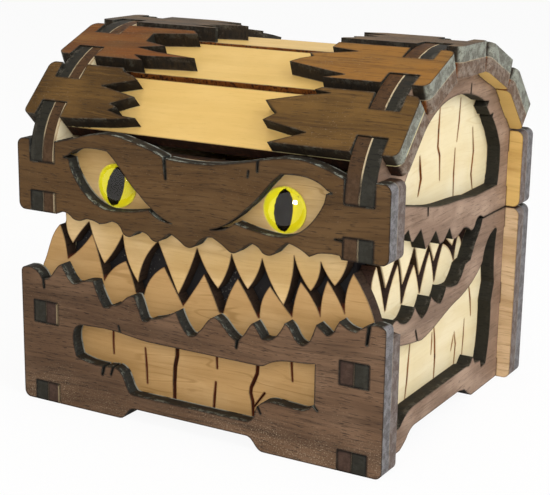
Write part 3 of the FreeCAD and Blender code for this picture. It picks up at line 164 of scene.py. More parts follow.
class Shader(Tree):
    """A material's node tree, with what the steps of a finish need."""

    def __init__(self, name: str) -> None:
        """Start an empty material.

        Args:
            name: The material's name.
        """
        self.material = bpy.data.materials.new(name)
        self.material.use_nodes = True
        super().__init__(self.material.node_tree)
        coordinates = self.node("ShaderNodeTexCoord", {}).outputs
        self.place, self.normal = coordinates["Object"], coordinates["Normal"]

    def along(self, vector: Socket, way: Sequence[float]) -> Socket:
        """Return how far a vector reaches along a direction."""
        fed = {0: vector, 1: tuple(way)}
        return self.node("ShaderNodeVectorMath", fed, operation="DOT_PRODUCT").outputs["Value"]

    def vector(self, *numbers: Number) -> Socket:
        """Return a vector made of two or three numbers."""
        return self.node("ShaderNodeCombineXYZ", dict(enumerate(numbers))).outputs[0]

    def length(self, vector: Socket) -> Socket:
        """Return a vector's length."""
        return self.node("ShaderNodeVectorMath", {0: vector}, operation="LENGTH").outputs["Value"]

    def times(self, *numbers: Number) -> Socket:
        """Return the product of several numbers."""
        return reduce(lambda product, number: self.maths("MULTIPLY", product, number), numbers)

    def noise(self, point: Socket, scale: float, detail: float = 2.0, roughness: float = 0.5) -> Socket:
        """Return a noise around a half, with as many features to the metre as its scale says."""
        fed = {"Vector": point, "Scale": scale, "Detail": detail, "Roughness": roughness}
        return self.node("ShaderNodeTexNoise", fed).outputs[0]

    def marks(self, spot: Spot, figure: Figure) -> Socket:
        """Return a noise whose features are stretched along the grain or across it."""
        point = self.vector(*(self.times(*pair) for pair in zip(spot, figure[:3])))
        return self.noise(point, 1.0, figure.detail, figure.roughness)

    def step(self, value: Number, low: float, high: float, first: float = 0.0, last: float = 1.0) -> Socket:
        """Return a smooth step from a first result at one value to a last result at a higher or lower one."""
        (low, first), (high, last) = sorted(((low, first), (high, last)))
        return self.node("ShaderNodeMapRange", dict(enumerate((value, low, high, first, last))),
                         interpolation_type="SMOOTHSTEP").outputs["Result"]

    def mix(self, share: Number, first: Any, second: Any, mode: str = "MIX") -> Socket:
        """Return a mix of two colours; the share is how much of the second one."""
        fed = {0: share, 6: first, 7: second}
        return self.node("ShaderNodeMix", fed, data_type="RGBA", blend_type=mode).outputs[2]

    def layers(self, base: Any, *coats: tuple[Number, Any]) -> Socket:
        """Return a colour with coats laid over it, each of them a share and a colour."""
        return reduce(lambda colour, coat: self.mix(coat[0], colour, coat[1]), coats, base)

    def bump(self, height: Number, depth: float) -> Socket:
        """Return a bumped normal, where the depth is what a height of one stands for."""
        return self.node("ShaderNodeBump", {"Distance": depth, "Height": height}).outputs[0]

    def openness(self, reach: float, inside: bool = False) -> Socket:
        """Return one where the piece is open around a point, and less in its hollows or, inside, its corners."""
        fed = {"Distance": reach}
        return self.node("ShaderNodeAmbientOcclusion", fed, samples=6, inside=inside, only_local=True).outputs["AO"]

    def end(self, surface: Socket) -> Material:
        """Finish the material with a shader and return it."""
        self.node("ShaderNodeOutputMaterial", {"Surface": surface})
        return self.material

    def surface(self, **inputs: Any) -> Material:
        """Finish the material with one Principled shader, whose sockets are named with _ for a space."""
        fed = {key.replace("_", " "): value for key, value in inputs.items()}
        return self.end(self.node("ShaderNodeBsdfPrincipled", fed).outputs[0])


# ---- Finishes ----


@dataclass(frozen=True)
class Veneer:
    """The colours and figure of a veneered face."""

    name: str
    body: str  # main tone
    dark: str  # late wood, in bands and streaks
    pale: str  # early wood, in clouds
    pore: str  # short open pores
    bands: float  # strength of the broad bands
    streaks: float  # strength of the fine streaks
    pores: float  # strength of the pores
    mottle: float  # strength of the clouds
    rings: float  # strength of the few drawn growth lines
    dust: float  # strength of the pale specks
    gloss: float  # roughness of the face


@dataclass(frozen=True)
class Char:
    """The colours of an edge burnt by the cutting beam, and of the veneer beside it, with painted sheen and shade.
    """

    edge: str  # the main burnt tone
    warm: str  # where the char is thin
    pit: str  # black pits
    across: str  # the tone of cuts across the grain, partly a painted grey sheen of the side light
    ash_and_sheen: str  # ashen film and painted grey sheen of the side light on the sheet's two ends
    ash_and_sheen_warm: str  # its browner spots
    ash_and_sheen_share: float  # how much of that film and painted sheen the two ends carry
    pitted: float  # how far up the noise the black pits reach
    glue_line: str  # the unburnt line between two sheets
    glue_share: float  # how strong that line is
    glue_width: float  # how much of it this sheet shows
    gap_shade: float  # painted shade: the black outline of the sheet's two ends, where they sit in their slots
    scorch_and_gap_shade: str  # scorched veneer beside the cut, darkened further as painted shade of the gaps there
    scorch_and_gap_shade_share: float  # how strong the scorch and the painted shade are
    worn: str  # rubbed corners
    worn_share: float  # how strongly they are rubbed
    corner_reach: float = 0.00042  # how far from a cut the corners reach, which take the scorch and the painted shade
    glue_at_tip: float = 1.0  # how much of the unburnt line shows on the two ends
    crack: str = ""  # painted light: a brighter brown on the walls of narrow cracks, which lie in shade


class Layer(Enum):
    """Which of a wall's two sheets a piece is."""

    OUTER = "outer"
    INNER = "inner"


WAVE = Figure(22, 30, 300, 1)  # how the figure of a veneer wanders
BANDS = Figure(12, 210, 300, 3, 0.6)
STREAKS = Figure(60, 1500, 300, 4, 0.7)
PORES = Figure(380, 4000, 300, 1)
CLOUDS = Figure(70, 110, 300, 3)
RINGS = Figure(42, 260, 300, 1)
RING_PATCHES = Figure(55, 80, 1, 1)  # where the drawn growth lines show
SCORING = Figure(2400, 2400, 420, 3, 0.7)  # the beam's marks through a cut edge
GRIT = Figure(4200, 4200, 3200, 2, 0.6)
BREAKS = Figure(240, 240, 0, 3, 0.6)  # where the unburnt line is broken

ENGRAVED = 0.0004  # how deep the lines of the side panels are
WANDER = 0.006  # how far the figure wanders
ACROSS = 0.61  # how far across the veneer a sheet's place moves with its seed
RING_SLICE = 7.3  # the depth at which the patches of growth lines are read
TURNED = (0.85, 0.6)  # between these a point's normal turns from a sheet's face to its edge
CLOSED = (0.97, 0.62)  # between these openness a point comes to lie in a corner
GRAIN_HEIGHT = 0.00006
TIP_START, TIP_END = 0.0012, 0.0005  # how far from a sheet's two ends the film and painted sheen come and are full
LIP_START, LIP_END = 0.0005, 0.0004  # the same for the unburnt line from the inner rim
CRACK_WIDTH = 0.0012  # how narrow a cut has to be to count as a crack
WOOD_SHEEN = 0.15
CHAR_ROUGHNESS = 0.7
# how much lighter the painted light makes a veneer at its full end
PAINTED_LIGHT_BY = (1.5, 1.55, 1.65, 1.0)
DUST = "#A89880"

# The side veneers are paler and cooler than the front's: partly painted light of the side lamp.
WALNUT_BASE = Veneer("walnut_base", "#5A4330", "#36271B", "#745B46", "#20150E", 0.5, 0.85, 0.8, 0.5, 0.0, 0.45, 0.6)
WALNUT_FACE = Veneer("walnut_face", "#573F23", "#352410", "#6A5133", "#20150A", 0.5, 0.8, 0.7, 0.5, 0.0, 0.25, 0.55)
WALNUT_SIDE_LIT = Veneer("walnut_side", "#846B58", "#5D4A3B", "#AB917B", "#44332A", 0.5, 0.7, 0.4, 0.9, 0.0, 0.35, 0.55)
WALNUT_TOP = Veneer("walnut_top", "#5C3F18", "#38250E", "#76572A", "#24160A", 0.5, 0.8, 0.4, 0.5, 0.0, 0.45, 0.6)
MAPLE_FRONT = Veneer("maple_front", "#BA9562", "#94703E", "#CAA878", "#8A6030", 0.4, 0.35, 0.1, 0.5, 0.6, 0.0, 0.5)
MAPLE_FACE = replace(MAPLE_FRONT, name="maple_face", body="#C0A06A", dark="#9C7A48", pale="#D8BE92")
MAPLE_SIDE_LIT = Veneer("maple_side", "#E4D4AA", "#D0B67C", "#EFE3C2", "#B0965C", 0.25, 0.2, 0.1, 0.5, 0.3, 0.0, 0.5)
MAPLE_TOP = Veneer("maple_top", "#D4B16A", "#BE9A52", "#DDBC78", "#A8833F", 0.25, 0.2, 0.15, 0.5, 0.0, 0.0, 0.5)
MAPLE_REAR_BASE = Veneer("maple_rear_base", "#D8B98F", "#A07A4A", "#E4C9A4", "#8A683E",
                         0.5, 0.9, 0.3, 0.4, 0.0, 0.0, 0.5)
MAPLE_REAR_LID = Veneer("maple_rear_lid", "#DDB86F", "#B08440", "#E6C684", "#8A6028",
                        0.5, 0.5, 0.15, 0.4, 0.0, 0.0, 0.5)

BURNT_WALNUT = Char("#24201A", "#2E2619", "#080706", "#2B2C29", "#7F7C7D", "#5F5B5A", 0.9, 0.33,
                    "#9DA096", 0.75, 0.0004, 0.0, "#130C07", 0.85, "#9BA093", 0.55, glue_at_tip=0.15)
BURNT_FACE = replace(BURNT_WALNUT, worn_share=0.95)
BURNT_SIDE = Char("#201E18", "#2B2419", "#090806", "#232119", "#3C3C36", "#2E2C26", 0.4, 0.33,
                  "#CDBB98", 0.65, 0.00013, 0.85, "#20140C", 0.7, "#8C8578", 0.3)
BURNT_SIDE_LEFT = replace(BURNT_SIDE, glue_share=0.3)
BURNT_SIDE_BASE = replace(BURNT_SIDE, glue_line="#A98F68", glue_share=0.35, glue_width=0.0001)
BURNT_SLAT = Char("#211B13", "#2C2214", "#080705", "#26251F", "#8C8F82", "#66645A", 0.95, 0.33,
                  "#D8CBB0", 0.15, 0.00015, 0.0, "#130C07", 0.75, "#B0AD9C", 0.4)
BURNT_SLAT_FRONT = replace(BURNT_SLAT, glue_line="#CFC492", glue_share=0.9, glue_width=0.0002)
BURNT_MAPLE = Char("#33231A", "#48301C", "#120B06", "#3A2A1E", "#7C736E", "#62554E", 0.85, 0.33,
                   "#C8B48C", 0.4, 0.0001, 0.0, "#4E280E", 0.65, "#D8BE8E", 0.0, 0.0003)
BURNT_MAPLE_FRONT = replace(BURNT_MAPLE, crack="#8E4526")
BURNT_MAPLE_BASE = replace(BURNT_MAPLE, edge="#4C2C16", warm="#643C1E", across="#3C2A22", ash_and_sheen="#4C3A30",
                           ash_and_sheen_warm="#3C2C24", gap_shade=0.85, scorch_and_gap_shade="#94601E", corner_reach=0.00055)
BURNT_MAPLE_RIB = replace(BURNT_MAPLE_BASE, edge="#422A14", warm="#54381C", across="#46311C", ash_and_sheen="#503C2A",
                          ash_and_sheen_warm="#3E2C1C", glue_line="#CDBB98", glue_share=0.8, glue_width=0.00018)
BURNT_MAPLE_RIB_LEFT = replace(BURNT_MAPLE_RIB, glue_share=0.5)
BURNT_MAPLE_SLAT = replace(BURNT_MAPLE, edge="#6E3A10", warm="#8A5018", pit="#160A03", ash_and_sheen="#8A7C6E",
                           ash_and_sheen_warm="#6A5646", pitted=0.43)


@dataclass(frozen=True)
class SheetFinish:
    """A finish for one flat sheet, which knows the sheet's face, grain and place."""

    veneer: Veneer
    char: Char
    layer: Layer
    face: Triple  # the way out of the sheet's outer face
    seed: float  # where on the veneer the sheet was cut
    dusty_below: float = 0.0  # dust lies under this height
    thick: float = 0.0032
    engraved: float = 0.0  # depth of engraved lines
    pale_lip: float = 0.0  # the unburnt line along the inner rim
    paler_to: Triple = RIGHTWARD  # painted light: the way the veneer slowly turns lighter, as more light falls there
    paler: float = 0.0  # how much, at that end

    @property
    def grain(self) -> Triple:
        """Return the way the grain runs: to the rear on a side wall, and else to the right."""
        return REARWARD if self.face in (LEFTWARD, RIGHTWARD) else RIGHTWARD

    def dress(self, piece: Piece) -> None:
        """Give a sheet its material, and its engraved lines one of their own.

        Args:
            piece: The sheet's object.
        """
        cover(piece, self._material(piece))
        if self.engraved:
            piece.data.materials.append(self._scorched(f"{piece.name}_scorched"))
            self._find_grooves(piece)

    @staticmethod
    def _reach(piece: Piece, way: Sequence[float]) -> tuple[float, float]:
        """Return where a piece starts and ends along a direction."""
        reaches = [vertex.co.dot(Vector(way)) for vertex in piece.data.vertices]
        return min(reaches), max(reaches)

    def _find_grooves(self, piece: Piece) -> None:
        """Give the faces of the engraved lines the second material.

        Args:
            piece: The sheet's object.
        """
        face, outer = Vector(self.face), self._reach(piece, self.face)[1]
        depths = [outer - vertex.co.dot(face) for vertex in piece.data.vertices]
        for polygon in piece.data.polygons:
            deepest = max(depths[index] for index in polygon.vertices)
            if self.engraved * 0.5 < deepest < self.engraved * 1.5:
                polygon.material_index = 1

    @staticmethod
    def _scorched(name: str) -> Material:
        """Build the golden brown of the engraved lines, with a dark core here and there."""
        s = Shader(name)
        return s.surface(Roughness=0.6, Specular_IOR_Level=WOOD_SHEEN, Base_Color=s.layers(
            "#96591B", (s.step(s.noise(s.place, 160), 0.4, 0.62), "#7A4312"),
            (s.step(s.noise(s.place, 420, 3, 0.6), 0.48, 0.62, 0.0, 0.75), "#3A1D08")))

    def _material(self, piece: Piece) -> Material:
        """Build a sheet's material.

        Args:
            piece: The sheet's object.

        Returns:
            The material.
        """
        s = Shader(f"{piece.name}_{self.veneer.name}")
        cross = Vector(self.face).cross(Vector(self.grain))
        along = s.along(s.place, self.grain)
        spot = Spot(s.maths("ADD", along, self.seed),
                    s.maths("ADD", s.along(s.place, cross), self.seed * ACROSS),
                    s.maths("SUBTRACT", self._reach(piece, self.face)[1], s.along(s.place, self.face)))
        is_edge = s.step(s.maths("ABSOLUTE", s.along(s.normal, self.face)), *TURNED)
        corner = s.step(s.openness(self.char.corner_reach, inside=True), *CLOSED)
        wood, rough, height = self._veneer_face(s, spot)
        # painted light: the veneer lightens towards one end, where more light falls
        if self.paler:
            light_drift = s.step(s.along(s.place, self.paler_to), *self._reach(piece, self.paler_to), 0.0, self.paler)
            wood = s.mix(light_drift, wood, PAINTED_LIGHT_BY, "MULTIPLY")
        if self.veneer.dust:
            wood = self._dust(s, wood)
        # painted shade over the scorch: the veneer darkens beside the cuts, as in the gaps' shade
        wood = s.mix(s.times(corner, self.char.scorch_and_gap_shade_share), wood, self.char.scorch_and_gap_shade)
        far = max(abs(end) for end in self._reach(piece, self.grain))
        tip = s.step(s.maths("ABSOLUTE", along), far - TIP_START, far - TIP_END)
        burnt = self._cut_edge(s, spot, tip)
        # painted shade: the ends' corners go black, where the tabs sit in their slots
        burnt = s.mix(s.times(corner, tip, self.char.gap_shade), burnt, self.char.pit)
        colour = s.mix(is_edge, wood, burnt)
        if self.char.worn_share:
            colour = self._wear(s, colour, spot.depth, corner, is_edge)
        normal = s.bump(s.times(height, s.maths("SUBTRACT", 1.0, is_edge)), GRAIN_HEIGHT)
        roughness = s.step(is_edge, 0.0, 1.0, self.veneer.gloss, CHAR_ROUGHNESS)
        return s.surface(Base_Color=colour, Roughness=s.maths("ADD", roughness, rough), Normal=normal,
                         Specular_IOR_Level=WOOD_SHEEN)

    def _veneer_face(self, s: Shader, spot: Spot) -> tuple[Socket, Socket, Socket]:
        """Build the figure of the veneer.

        Args:
            s: The material's tree.
            spot: The point of the sheet.

        Returns:
            The colour, a small change in roughness, and the height of the grain.
        """
        v = self.veneer
        wave = s.marks(spot, WAVE)
        spot = spot._replace(rise=s.maths("ADD", spot.rise, s.times(wave, WANDER)))
        streaks = s.marks(spot, STREAKS)
        line = s.step(streaks, 0.5, 0.74)
        hole = s.step(s.marks(spot, PORES), 0.62, 0.7)
        colour = s.layers(v.body,
                          (s.times(s.step(s.marks(spot, CLOUDS), 0.4, 0.68), v.mottle), v.pale),
                          (s.times(s.step(s.marks(spot, BANDS), 0.42, 0.68), v.bands), v.dark),
                          (s.times(line, v.streaks), v.dark),
                          (s.times(s.step(streaks, 0.46, 0.3), v.streaks, 0.5), v.pale),
                          (s.times(hole, v.pores), v.pore))
        if v.rings:
            growth = s.maths("ABSOLUTE", s.maths("SUBTRACT", s.marks(spot, RINGS), 0.5))
            where = s.step(s.marks(spot._replace(depth=RING_SLICE), RING_PATCHES), 0.52, 0.64)
            colour = s.mix(s.times(s.step(growth, 0.022, 0.004), where, v.rings), colour, v.dark)
        height = s.maths("SUBTRACT", 1.0, s.times(s.maths("ADD", line, hole), v.streaks))
        return colour, s.times(line, 0.1), height

    def _dust(self, s: Shader, colour: Socket) -> Socket:
        """Scatter pale specks over a face, thicker near the table.

        Args:
            s: The material's tree.
            colour: The colour before.

        Returns:
            The colour after.
        """
        speck = s.noise(s.place, 3400, 1)
        patch = s.step(s.noise(s.place, 70), 0.42, 0.6, 0.12, 0.8)
        share = s.times(s.step(speck, 0.66, 0.76), patch, self.veneer.dust)
        if self.dusty_below:
            low = s.step(s.along(s.place, UPWARD), self.dusty_below, self.dusty_below * 0.25)
            share = s.maths("MAXIMUM", share, s.times(s.step(speck, 0.52, 0.8), low, patch))
        return s.mix(share, colour, DUST)

    def _cut_edge(self, s: Shader, spot: Spot, tip: Socket) -> Socket:
        """Build the colour of the burnt edges, with the unburnt line where two sheets meet and painted sheen on the
        ends.

        Args:
            s: The material's tree.
            spot: The point of the sheet.
            tip: One at the sheet's two ends.

        Returns:
            The colour.
        """
        c = self.char
        facing = s.maths("ABSOLUTE", s.along(s.normal, self.grain))
        here = s.vector(*spot)
        blotch = s.noise(here, 620, 4, 0.65)
        dots = s.noise(here, 1500, 2, 0.6)
        # The ends, and the cuts across the grain, get an ashen grey that is partly a painted sheen of the side
        # light.
        film_and_sheen = s.layers(c.ash_and_sheen_warm, (s.step(blotch, 0.4, 0.62), c.ash_and_sheen),
                        (s.step(s.marks(spot, GRIT), 0.46, 0.3, 0.0, 0.7), c.across))
        ash_and_sheen = s.maths("MAXIMUM", s.times(tip, c.ash_and_sheen_share), s.step(blotch, 0.58, 0.74, 0.0, 0.14))
        pits = s.times(s.step(dots, c.pitted + 0.03, c.pitted - 0.03, 0.0, 0.85), s.step(tip, 0.0, 1.0, 1.0, 0.3))
        colour = s.layers(c.edge, (s.step(blotch, 0.4, 0.66), c.warm), (s.step(facing, 0.3, 0.8), c.across),
                          (s.step(s.marks(spot, SCORING), 0.5, 0.34, 0.0, 0.6), c.pit), (ash_and_sheen, film_and_sheen), (pits, c.pit))
        # painted light: walls of narrow cracks, dark with shade, are lightened to brown
        if c.crack:
            colour = s.mix(s.step(s.openness(CRACK_WIDTH), 0.58, 0.42), colour, c.crack)
        if self.layer is Layer.OUTER:
            seam = s.step(spot.depth, self.thick - c.glue_width * 1.2, self.thick - c.glue_width)
        else:
            seam = s.step(spot.depth, c.glue_width * 1.2, c.glue_width)
            if self.pale_lip:
                lip = s.step(spot.depth, self.thick - LIP_START, self.thick - LIP_END, 0.0, self.pale_lip)
                colour = s.mix(lip, colour, c.glue_line)
        broken = s.step(s.marks(spot, BREAKS), 0.38, 0.5)
        seam = s.times(seam, broken, s.step(tip, 0.0, 1.0, 1.0, c.glue_at_tip))
        return s.mix(s.times(seam, c.glue_share), colour, c.glue_line)

    def _wear(self, s: Shader, colour: Socket, depth: Number, corner: Socket, is_edge: Socket) -> Socket:
        """Rub the outer corners of the cut edges pale, here and there.

        Args:
            s: The material's tree.
            colour: The colour before.
            depth: Metres below the outer face.
            corner: One at the sheet's corners.
            is_edge: One on the cut edges.

        Returns:
            The colour after.
        """
        where = s.step(s.noise(s.place, 420, 5, 0.85), 0.5, 0.58)
        upward = s.step(s.along(s.normal, UPWARD), 0.2, 0.7, 0.25, 1.0)
        rubbed = s.times(s.maths("MAXIMUM", corner, 0.6), s.step(depth, self.thick * 0.45, self.thick * 0.2))
        on_face = s.times(s.maths("SUBTRACT", 1.0, is_edge), corner, 0.3)
        share = s.times(s.maths("MAXIMUM", s.times(rubbed, is_edge), on_face), where, upward, self.char.worn_share)
        return s.mix(share, colour, self.char.worn)


@dataclass(frozen=True)
class Board:
    """The matt black board that lines the chest, with dust on it."""

    name: str = "black_board"
    fine: float = 2300.0  # how closely the specks and the fibres lie
    broad: float = 90.0  # how closely the patches lie

    def dress(self, piece: Piece) -> None:
        """Give a lining board its material.

        Args:
            piece: The board's object.
        """
        s = Shader(f"{piece.name}_{self.name}")
        speck = s.step(s.noise(s.place, self.fine, 1), 0.64, 0.74)
        patch = s.step(s.noise(s.place, self.broad), 0.42, 0.6)
        pale = s.step(s.noise(s.place, self.broad, 4), 0.45, 0.75, 0.0, 0.35)
        colour = s.layers("#171416", (pale, "#2B2628"), (s.times(speck, patch, 0.7), "#85817A"))
        cover(piece, s.surface(Base_Color=colour, Roughness=0.6, Specular_IOR_Level=0.3,
                               Normal=s.bump(s.noise(s.place, self.fine), 0.00003)))


@dataclass(frozen=True)
class Brass:
    """Lightly brushed brass, a little tarnished in its hollows, which also carry painted shade."""

    name: str = "brass"
    hollow: float = 0.0005  # how narrow a hollow has to be to darken, with patina and painted shade
    brushing: Figure = Figure(120, 4000, 4000, 3, 0.6)

    def dress(self, piece: Piece) -> None:
        """Give a hinge piece its material.

        Args:
            piece: The leaf's, the pin's or the screws' object.
        """
        s = Shader(f"{piece.name}_{self.name}")
        lines = s.marks(Spot(*(s.along(s.place, way) for way in (RIGHTWARD, REARWARD, UPWARD))), self.brushing)
        dull = s.step(s.noise(s.place, 260, 4, 0.6), 0.45, 0.7)
        # patina and painted shade darken the hollows
        tarnish_and_shade = s.step(s.openness(self.hollow), 0.86, 0.5, 0.0, 0.85)
        colour = s.layers("#D8B468", (s.times(dull, 0.5), "#9C7434"), (tarnish_and_shade, "#3C2810"))
        rough = s.maths("ADD", s.step(lines, 0.3, 0.7, 0.22, 0.38), s.times(dull, 0.15))
        cover(piece, s.surface(Base_Color=colour, Metallic=1.0, Roughness=rough, Normal=s.bump(lines, 0.00001)))


@dataclass(frozen=True)
class FeltCloth:
    """Short-piled felt: matt, soft at its edge, with fibres that lie every way."""

    name: str = "felt"
    body: str = "#241F22"
    fibre: str = "#4A4347"
    ways: tuple[Figure, Figure] = (Figure(900, 5200, 0, 3, 0.7), Figure(5200, 900, 0, 3, 0.7))

    def dress(self, piece: Piece) -> None:
        """Give the felt its material.

        Args:
            piece: The felt's object.
        """
        s = Shader(f"{piece.name}_{self.name}")
        spot = Spot(s.along(s.place, RIGHTWARD), s.along(s.place, REARWARD), 0.0)
        fibres = s.maths("MAXIMUM", *(s.marks(spot, way) for way in self.ways))
        colour = s.mix(s.step(fibres, 0.5, 0.72), self.body, self.fibre)
        cover(piece, s.surface(Base_Color=colour, Roughness=0.95, Sheen_Weight=0.4, Sheen_Roughness=0.5,
                               Normal=s.bump(fibres, 0.00012)))


# ---- Modelling ----


class Bench:
    """The few things that every modelled piece needs."""

    @staticmethod
    def clear() -> None:
        """Leave edit mode and deselect every object."""
        if bpy.context.object is not None and bpy.context.object.mode != "OBJECT":
            Bench.leave()
        ops.object.select_all(action="DESELECT")

    @staticmethod
    def start(name: str) -> Piece:
        """Name the primitive that was just added and fix its place in its mesh.

        Args:
            name: The piece's name.

        Returns:
            The piece.
        """
        piece = bpy.context.object
        piece.name = name
        piece.data.name = name
        ops.object.transform_apply(location=True, rotation=True, scale=True)
        return piece

    @staticmethod
    def leave() -> None:
        """Leave edit mode, which brings the mesh's data up to date."""
        ops.object.mode_set(mode="OBJECT")

    @staticmethod
    def enter() -> None:
        """Enter edit mode with the whole mesh selected."""
        ops.object.mode_set(mode="EDIT")
        ops.mesh.select_all(action="SELECT")

    @staticmethod
    def pick(piece: Piece, mode: str, wanted: Callable[[Any], bool]) -> None:
        """Select some of a mesh's elements and enter edit mode.

        Args:
            piece: The piece, which is the active object.
            mode: VERT, EDGE or FACE.
            wanted: Whether an element is to be selected.
        """
        Bench.leave()
        kind = {"VERT": "vertices", "EDGE": "edges", "FACE": "polygons"}[mode]
        chosen = [item.index for item in getattr(piece.data, kind) if wanted(item)]
        ops.object.mode_set(mode="EDIT")
        ops.mesh.select_mode(type=mode)
        ops.mesh.select_all(action="DESELECT")
        Bench.leave()
        for index in chosen:
            getattr(piece.data, kind)[index].select = True
        ops.object.mode_set(mode="EDIT")

    @staticmethod
    def done(piece: Piece, angle: float = 40.0) -> None:
        """Leave edit mode, turn the faces outwards and smooth what is round.

        Args:
            piece: The piece, which is the active object.
            angle: Faces that meet at less than this many degrees are smoothed.
        """
        Bench.enter()
        ops.mesh.remove_doubles(threshold=MERGE)
        ops.mesh.normals_make_consistent(inside=False)
        Bench.leave()
        ops.object.shade_smooth_by_angle(angle=math.radians(angle))
        piece.select_set(False)


@dataclass
class Eye:
    """One glass eye: a clear dome over a disc printed with an iris and a slit pupil."""

    side: str
    radius: float = 0.0047
    dome: float = 0.0022  # how far the glass bulges
    facets: int = 96
    print_depth: float = 0.00002  # how far the disc's face stands inside the glass
    print_gap: float = 0.00002  # how much smaller than the glass the disc is
    print_bevel: float = 0.00004
    pupil_half_width: float = 0.0018
    pupil_half_height: float = 0.0041
    pupil_fullness: float = 1.95
    pupil_lean: float = 0.0
    pupil_shake: float = 0.35  # how uneven the pupil's outline is

    def build(self) -> list[Piece]:
        """Model the dome and dress the disc.

        Returns:
            The new pieces.
        """
        low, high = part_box(f"eye_{self.side}_glass")
        centre = (low + high) / 2
        back, front = high.y, low.y
        ball = (self.radius**2 + self.dome**2) / (2 * self.dome)
        foot = front + self.dome
        Bench.clear()
        ops.mesh.primitive_uv_sphere_add(
            segments=self.facets, ring_count=self.facets, radius=ball, location=(centre.x, front + ball, centre.z),
            rotation=(math.pi / 2, 0, 0))
        glass = Bench.start(f"eye_{self.side}_dome")
        Bench.enter()
        ops.mesh.bisect(plane_co=(centre.x, foot, centre.z), plane_no=REARWARD, clear_outer=True, threshold=MERGE)
        Bench.pick(glass, "VERT", lambda v: abs(v.co.y - front - self.dome) < TOUCH)
        ops.mesh.extrude_region_move(TRANSFORM_OT_translate={"value": (0, back - front - self.dome, 0)})
        ops.mesh.edge_face_add()
        Bench.done(glass)
        self._dress_glass(glass)
        glass.visible_shadow = False
        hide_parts(f"eye_{self.side}_glass")
        return [glass, self._disc(centre)]

    def _disc(self, centre: Vector) -> Piece:
        """Model the printed disc, whose face stands a hair inside the glass as if glued to it.

        Args:
            centre: The glass's centre.

        Returns:
            The disc.
        """
        low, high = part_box(f"eye_{self.side}_print")
        Bench.clear()
        depth = high.y - low.y + self.print_depth
        ops.mesh.primitive_cylinder_add(
            vertices=self.facets, radius=self.radius - self.print_gap, depth=depth,
            location=(centre.x, high.y - depth / 2, centre.z), rotation=(math.pi / 2, 0, 0))
        disc = Bench.start(f"eye_{self.side}_iris")
        Bench.enter()
        ops.mesh.bevel(offset=self.print_bevel, segments=2, affect="EDGES")
        Bench.done(disc)
        self._dress_disc(disc, centre)
        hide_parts(f"eye_{self.side}_print")
        return disc

    @staticmethod
    def _dress_glass(glass: Piece) -> None:
        """Make the dome clear glass."""
        s = Shader(f"{glass.name}_clear")
        cover(glass, s.surface(Base_Color=WHITE, Roughness=0.0, IOR=1.5, Transmission_Weight=1.0,
                               Specular_IOR_Level=0.25))

    def _dress_disc(self, disc: Piece, centre: Vector) -> None:
        """Print the iris and the slit pupil, with painted shade over the iris's right side.

        Args:
            disc: The disc.
            centre: The eye's centre.
        """
        s = Shader(f"{disc.name}_ink")
        x = s.maths("SUBTRACT", s.along(s.place, RIGHTWARD), centre.x)
        z = s.maths("SUBTRACT", s.along(s.place, UPWARD), centre.z)
        spot = s.vector(x, z)
        out = s.length(spot)
        level = s.maths("SUBTRACT", x, s.times(z, self.pupil_lean))
        halves = ((level, self.pupil_half_width), (z, self.pupil_half_height))
        wide, tall = (s.maths("POWER", s.maths("ABSOLUTE", s.times(way, 1 / half)), self.pupil_fullness)
                      for way, half in halves)
        shake = s.times(s.maths("SUBTRACT", s.noise(spot, 1500), 0.5), self.pupil_shake)
        slit = s.maths("ADD", s.maths("ADD", wide, tall), shake)
        freckle = s.step(s.noise(spot, 1900, 1), 0.66, 0.7)
        rim = s.times(s.step(out, self.radius * 0.68, self.radius * 0.78), s.step(z, 0.0015, 0.003))
        # painted shade: the iris darkens towards its right
        colour = s.layers("#D0C81E", (s.step(x, -self.radius, self.radius), "#C0B50E"),
                          (s.step(out, self.radius * 0.75, self.radius, 0.0, 0.6), "#D8D24C"),
                          (s.step(slit, 1.0, 0.9), "#0C0702"), (s.times(freckle, rim), "#4A4418"))
        cover(disc, s.surface(Base_Color=colour, Roughness=0.6, Specular_IOR_Level=0.0))


